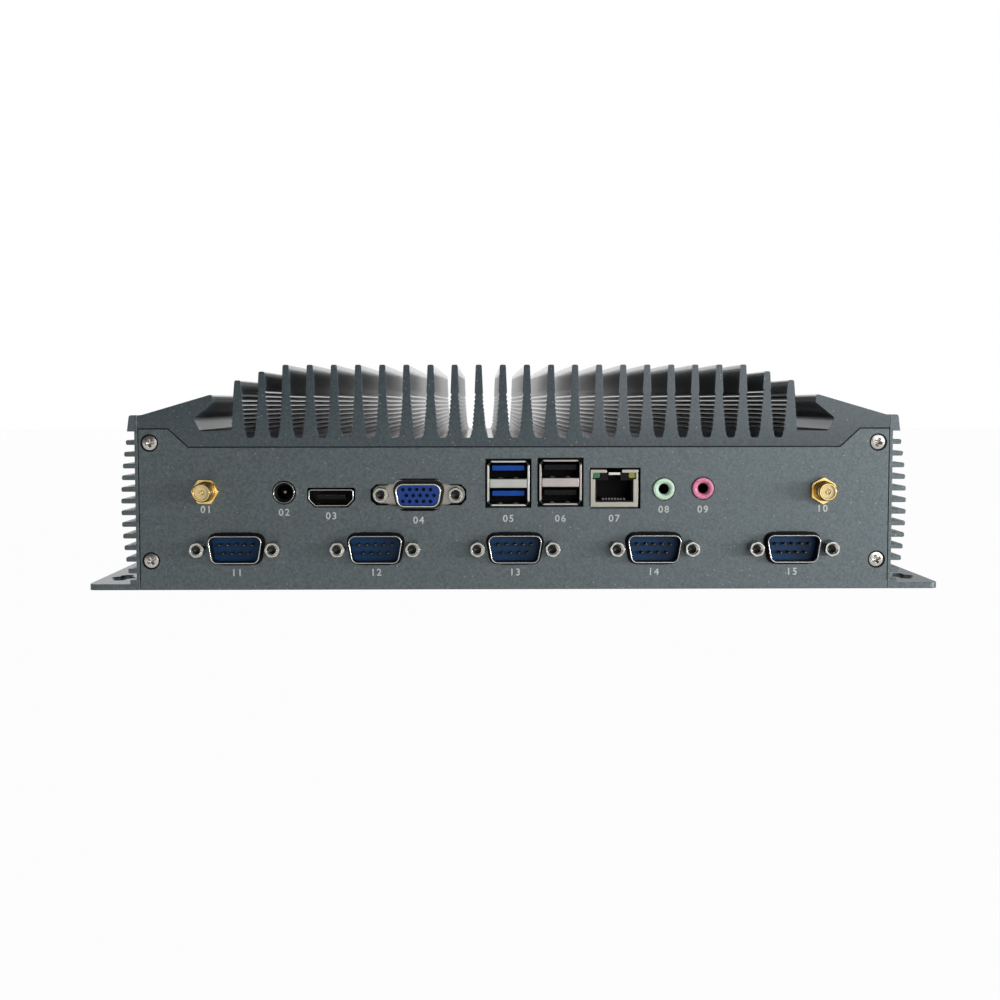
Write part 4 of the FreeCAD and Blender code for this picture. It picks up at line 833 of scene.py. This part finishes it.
DATA_SOCKETS = {"a": (-2.2, 35.6), "b": (15.2, 35.9)}
for letter, (across, up) in DATA_SOCKETS.items():
    bright = DATA_NICKEL if letter == "a" else WARM_NICKEL
    side = np.array([(6.35, -5.6), (6.75, -6.2), (7.0, -6.2), (7.08, -5.9),
                     (7.08, 5.9), (7.0, 6.2), (6.75, 6.2), (6.35, 5.6)])
    cap = np.array([(-5.3, 6.95), (5.3, 6.95), (5.9, 7.3), (5.9, 7.5), (5.6, 7.58), (-5.6, 7.58), (-5.9, 7.5),
                    (-5.9, 7.3)])
    lips = [patch(ring(sign * path, [(0, 0.2), (0, 0.62), (0.07, 0.75)], (across, up)),
                  wrap=True, first_cap=True, last_cap=True) for path in (side, cap) for sign in (1, -1)]
    make(f"data_lips_{letter}", lips, bright)
    bar = rounded([(-6.1, -1.45, 0.15), (6.1, -1.45, 0.15), (6.1, 1.45, 0.15), (-6.1, 1.45, 0.15)], 3)
    make(f"data_bar_{letter}",
         [patch(ring(bar, [(0, 0.3), (0, 0.58), (0.1, 0.66)], (across, up)),
                wrap=True, first_cap=True, last_cap=True)], DATA_BAR if letter == "a" else WARM_NICKEL)
    tongues, springs, contacts = [], [], []
    for mouth in (4.225, -4.225):
        level = up + mouth
        tongues.append(block(across - 5.38, across + 5.38, -9.6, -0.5, level + 0.02, level + 1.68, 0.2))
        springs += [block(across + x - 0.65, across + x + 0.65, -4.5, -1.4, level - 2.62, level - 2.4, 0.05)
                    for x in (-2.6, 2.6)]
        contacts += [block(across + x - 0.5, across + x + 0.5, -8, -1.0, level - 0.06, level + 0.02) for x in
                     (-3.5, -1.0, 1.0, 3.5)]
    make(f"data_tongues_{letter}", tongues, TONGUE_BLUE if letter == "a" else BLACK_AND_SHADE)
    make(f"data_springs_{letter}", springs, PIN_STEEL)
    mouth_edge = np.array([(-7.9, -8.4), (7.9, -8.4), (7.9, 8.4), (-7.9, 8.4)])
    # painted shade: a black ring behind the panel round each data socket's mouth
    blind = [(0, -2.6), (0, -2.2), (0.8, -2.2), (0.8, -2.6), (0, -2.6)]
    make(f"data_shade_ring_{letter}", [patch(ring(mouth_edge, blind, (across, up)), wrap=True)], BLACK_AND_SHADE)
    make(f"data_contacts_{letter}", contacts, SHADED_PIN_GOLD)

NETWORK = (33.2, 33.9)
CONTACT_PITCH = 1.02
# the data sockets' shells are painted nearly black: painted shade
for node in ("data_socket_shell_a", "data_socket_shell_b"):
    nodes[node].data.materials[0] = SHADED_NICKEL
nodes["network_jack_shell"].data.materials[0] = FLANGE_NICKEL
nodes["network_jack_contacts"].data.materials[0] = PIN_STEEL
for lamp, lens in (("network_lamp_green", GREEN_LENS), ("network_lamp_yellow", YELLOW_LENS)):
    (left, front, bottom), (right, back, top) = extent(lamp)
    out = PANEL_FACE - front
    make(f"{lamp}_dome", [plate(rounded([(left, bottom, 0.6), (right, bottom, 0.6), (right, top, 0.6),
                                         (left, top, 0.6)]), PANEL_FACE - back, out)], lens, [lamp])
make("network_contact_tips",
     [block(NETWORK[0] + (i - 3.5) * CONTACT_PITCH - 0.2, NETWORK[0] + (i - 3.5) * CONTACT_PITCH + 0.2,
            -3.4, -1.4, NETWORK[1] - 4.05, NETWORK[1] - 3.85, 0.05) for i in range(8)], PIN_STEEL)
make("network_latch_tab",
     [block(NETWORK[0] - 1.9, NETWORK[0] + 1.9, -0.2, 0.5, NETWORK[1] + 4.5, NETWORK[1] + 5.3, 0.15)],
     DATA_NICKEL)


# ---------------------------------------------------------------- rear button

BUTTON = (100.0, 27.0)


def rear_turned(profile, centre, count=64):
    """A turned form whose axis leaves the rear panel at centre."""
    profile = np.asarray(profile, float)
    angle = turns(count)
    radius, out = profile[:, :1], profile[:, 1:]
    return np.stack([centre[0] + radius * np.cos(angle), REAR_FACE + out + 0 * angle,
                     centre[1] + radius * np.sin(angle)], axis=-1)


button_rows = [(4.0, -2), (4.0, 1.2), (3.9, 1.45), (3.7, 1.58), (3.5, 1.5), (3.1, 1.25),
               (2.0, 1.12), (1.0, 1.1)]
collar = np.array([(-5, -5), (5, -5), (5, 5), (-5, 5)], float)
collar_grid = np.stack([np.stack([BUTTON[0] + collar[:, 0], np.full(4, REAR_FACE + out),
                                  BUTTON[1] + collar[:, 1]], axis=-1) for out in (-3.5, -2.0)])
make("power_button_cap",
     [patch(rear_turned(button_rows, BUTTON), wrap=True, first_cap=True, last_cap=True),
      patch(collar_grid, wrap=True, first_cap=True, last_cap=True)],
     NICKEL, ["power_button"], body="button")


# ---------------------------------------------------------------- plain numbers under the ports

def digits(text, across, up, height=2.3):
    """Vertices and faces of a number: a flat type outline, a hair thick, centred on the panel's face."""
    curve = bpy.data.curves.new("number", "FONT")
    curve.body = text
    curve.align_x, curve.align_y = "CENTER", "CENTER"
    curve.size = height / 0.7
    curve.space_character = 1.25
    curve.extrude = 0.01
    curve.offset = 0.06
    curve.resolution_u = 4
    holder = bpy.data.objects.new("number", curve)
    mesh = bpy.data.meshes.new_from_object(holder)
    flat = np.empty(len(mesh.vertices) * 3)
    mesh.vertices.foreach_get("co", flat)
    flat = flat.reshape(-1, 3)
    faces = [list(polygon.vertices) for polygon in mesh.polygons]
    bpy.data.objects.remove(holder)
    bpy.data.curves.remove(curve)
    bpy.data.meshes.remove(mesh)
    return np.stack([across + flat[:, 0], PANEL_FACE - 0.012 - flat[:, 2], up + flat[:, 1]], axis=1), faces


NUMBER_PLACES = [(-103, 26.9), (-77, 25.9), (-61.3, 24.7), (-32.2, 23.2), (-2.2, 23.7), (15.2, 23.7),
                 (33.2, 23.7), (49.8, 26.7), (62.9, 26.7), (103, 26.9)]
NUMBER_PLACES += [(across, 5.7) for across in SERIAL_ACROSS]
make("port_numbers",
     [digits(f"{number:02d}", *spot) for number, spot in enumerate(NUMBER_PLACES, start=1)], INK)


# ---------------------------------------------------------------- floor, backdrop, light and camera

def stage_surface(name, corners, colour, seen_white):
    """A plain surface: nearly white seen directly, in a mirror or through glass, and it keeps shadows."""
    mesh = bpy.data.meshes.new(name)
    mesh.from_pydata(corners, [], [(0, 1, 2, 3)])
    material, tree, shader = blank(name)
    path = add(tree, "LightPath").outputs
    direct = arithmetic(tree, "MAXIMUM", path["Is Camera Ray"],
                        arithmetic(tree, "MAXIMUM", path["Is Glossy Ray"], path["Is Transmission Ray"]))
    shader.inputs["Base Color"].default_value = (*colour, 1)
    shader.inputs["Roughness"].default_value = 0.9
    glow = add(tree, "Emission", {"Color": (1, 1, 1, 1), "Strength": 1.0}).outputs[0]
    mixed = add(tree, "MixShader", {0: arithmetic(tree, "MULTIPLY", direct, seen_white)})
    tree.links.new(shader.outputs[0], mixed.inputs[1])
    tree.links.new(glow, mixed.inputs[2])
    output = next(node for node in tree.nodes if node.type == "OUTPUT_MATERIAL")
    tree.links.new(mixed.outputs[0], output.inputs["Surface"])
    mesh.materials.append(material)
    surface = bpy.data.objects.new(name, mesh)
    bpy.context.scene.collection.objects.link(surface)


def area_light(name, place, aim, size, power):
    """A rectangular lamp at a place in metres, turned towards the point that it lights."""
    lamp = bpy.data.lights.new(name, "AREA")
    lamp.shape, lamp.size, lamp.size_y = "RECTANGLE", *size
    lamp.energy = power
    holder = bpy.data.objects.new(name, lamp)
    holder.location = place
    holder.rotation_euler = (Vector(aim) - Vector(place)).to_track_quat("-Z", "Y").to_euler()
    bpy.context.scene.collection.objects.link(holder)


stage_surface("floor", [(-6, -6, 0), (6, -6, 0), (6, 3, 0), (-6, 3, 0)], (0.86, 0.86, 0.86), 0.975)
stage_surface("backdrop", [(-6, 3, 0), (6, 3, 0), (6, 3, 6), (-6, 3, 6)], (0.86, 0.86, 0.86), 1.0)

world = bpy.data.worlds.new("studio")
bpy.context.scene.world = world
world.use_nodes = True
sky = next(node for node in world.node_tree.nodes if node.type == "BACKGROUND")
sky.inputs["Color"].default_value = (1, 1, 1, 1)
direction = add(world.node_tree, "SeparateXYZ",
                {0: add(world.node_tree, "TexCoord").outputs["Generated"]}).outputs
facing = arithmetic(world.node_tree, "ABSOLUTE", direction[1])
softbox = add(world.node_tree, "MapRange", {"Value": facing, "From Min": 0.3, "From Max": 0.95,
                                            "To Min": 0.06, "To Max": 0.08}).outputs[0]
sees_sky = add(world.node_tree, "LightPath").outputs["Is Camera Ray"]
world.node_tree.links.new(arithmetic(world.node_tree, "MAXIMUM", softbox, sees_sky), sky.inputs["Strength"])

area_light("right key", (1.2, -2.4, 0.45), (0.1, 0, 0.03), (2.2, 0.9), 22)
area_light("near right key", (0.7, -0.45, 0.05), (0.12, -0.09, 0.0), (0.36, 0.1), 3.9)
area_light("left fill", (-2.2, -1.6, 0.6), (0, 0, 0.03), (1.5, 1.0), 3)
area_light("top", (0, 0.8, 2.4), (0, 0, 0), (2.4, 1.6), 6)
area_light("rear fill", (-0.6, 2.4, 0.7), (0, 0, 0.03), (2.4, 1.2), 8)

camera = bpy.data.cameras.new("camera")
camera.lens = 50.76
camera.clip_start = 0.01
viewpoint = bpy.data.objects.new("camera", camera)
viewpoint.location = Vector((-10.79, -564.86, 61.99)) * MM
viewpoint.rotation_euler = Euler((math.radians(90 - 3.893), math.radians(0.055), math.radians(-0.711)), "XYZ")
bpy.context.scene.collection.objects.link(viewpoint)
bpy.context.scene.camera = viewpoint
bpy.context.scene.view_settings.view_transform = "Standard"
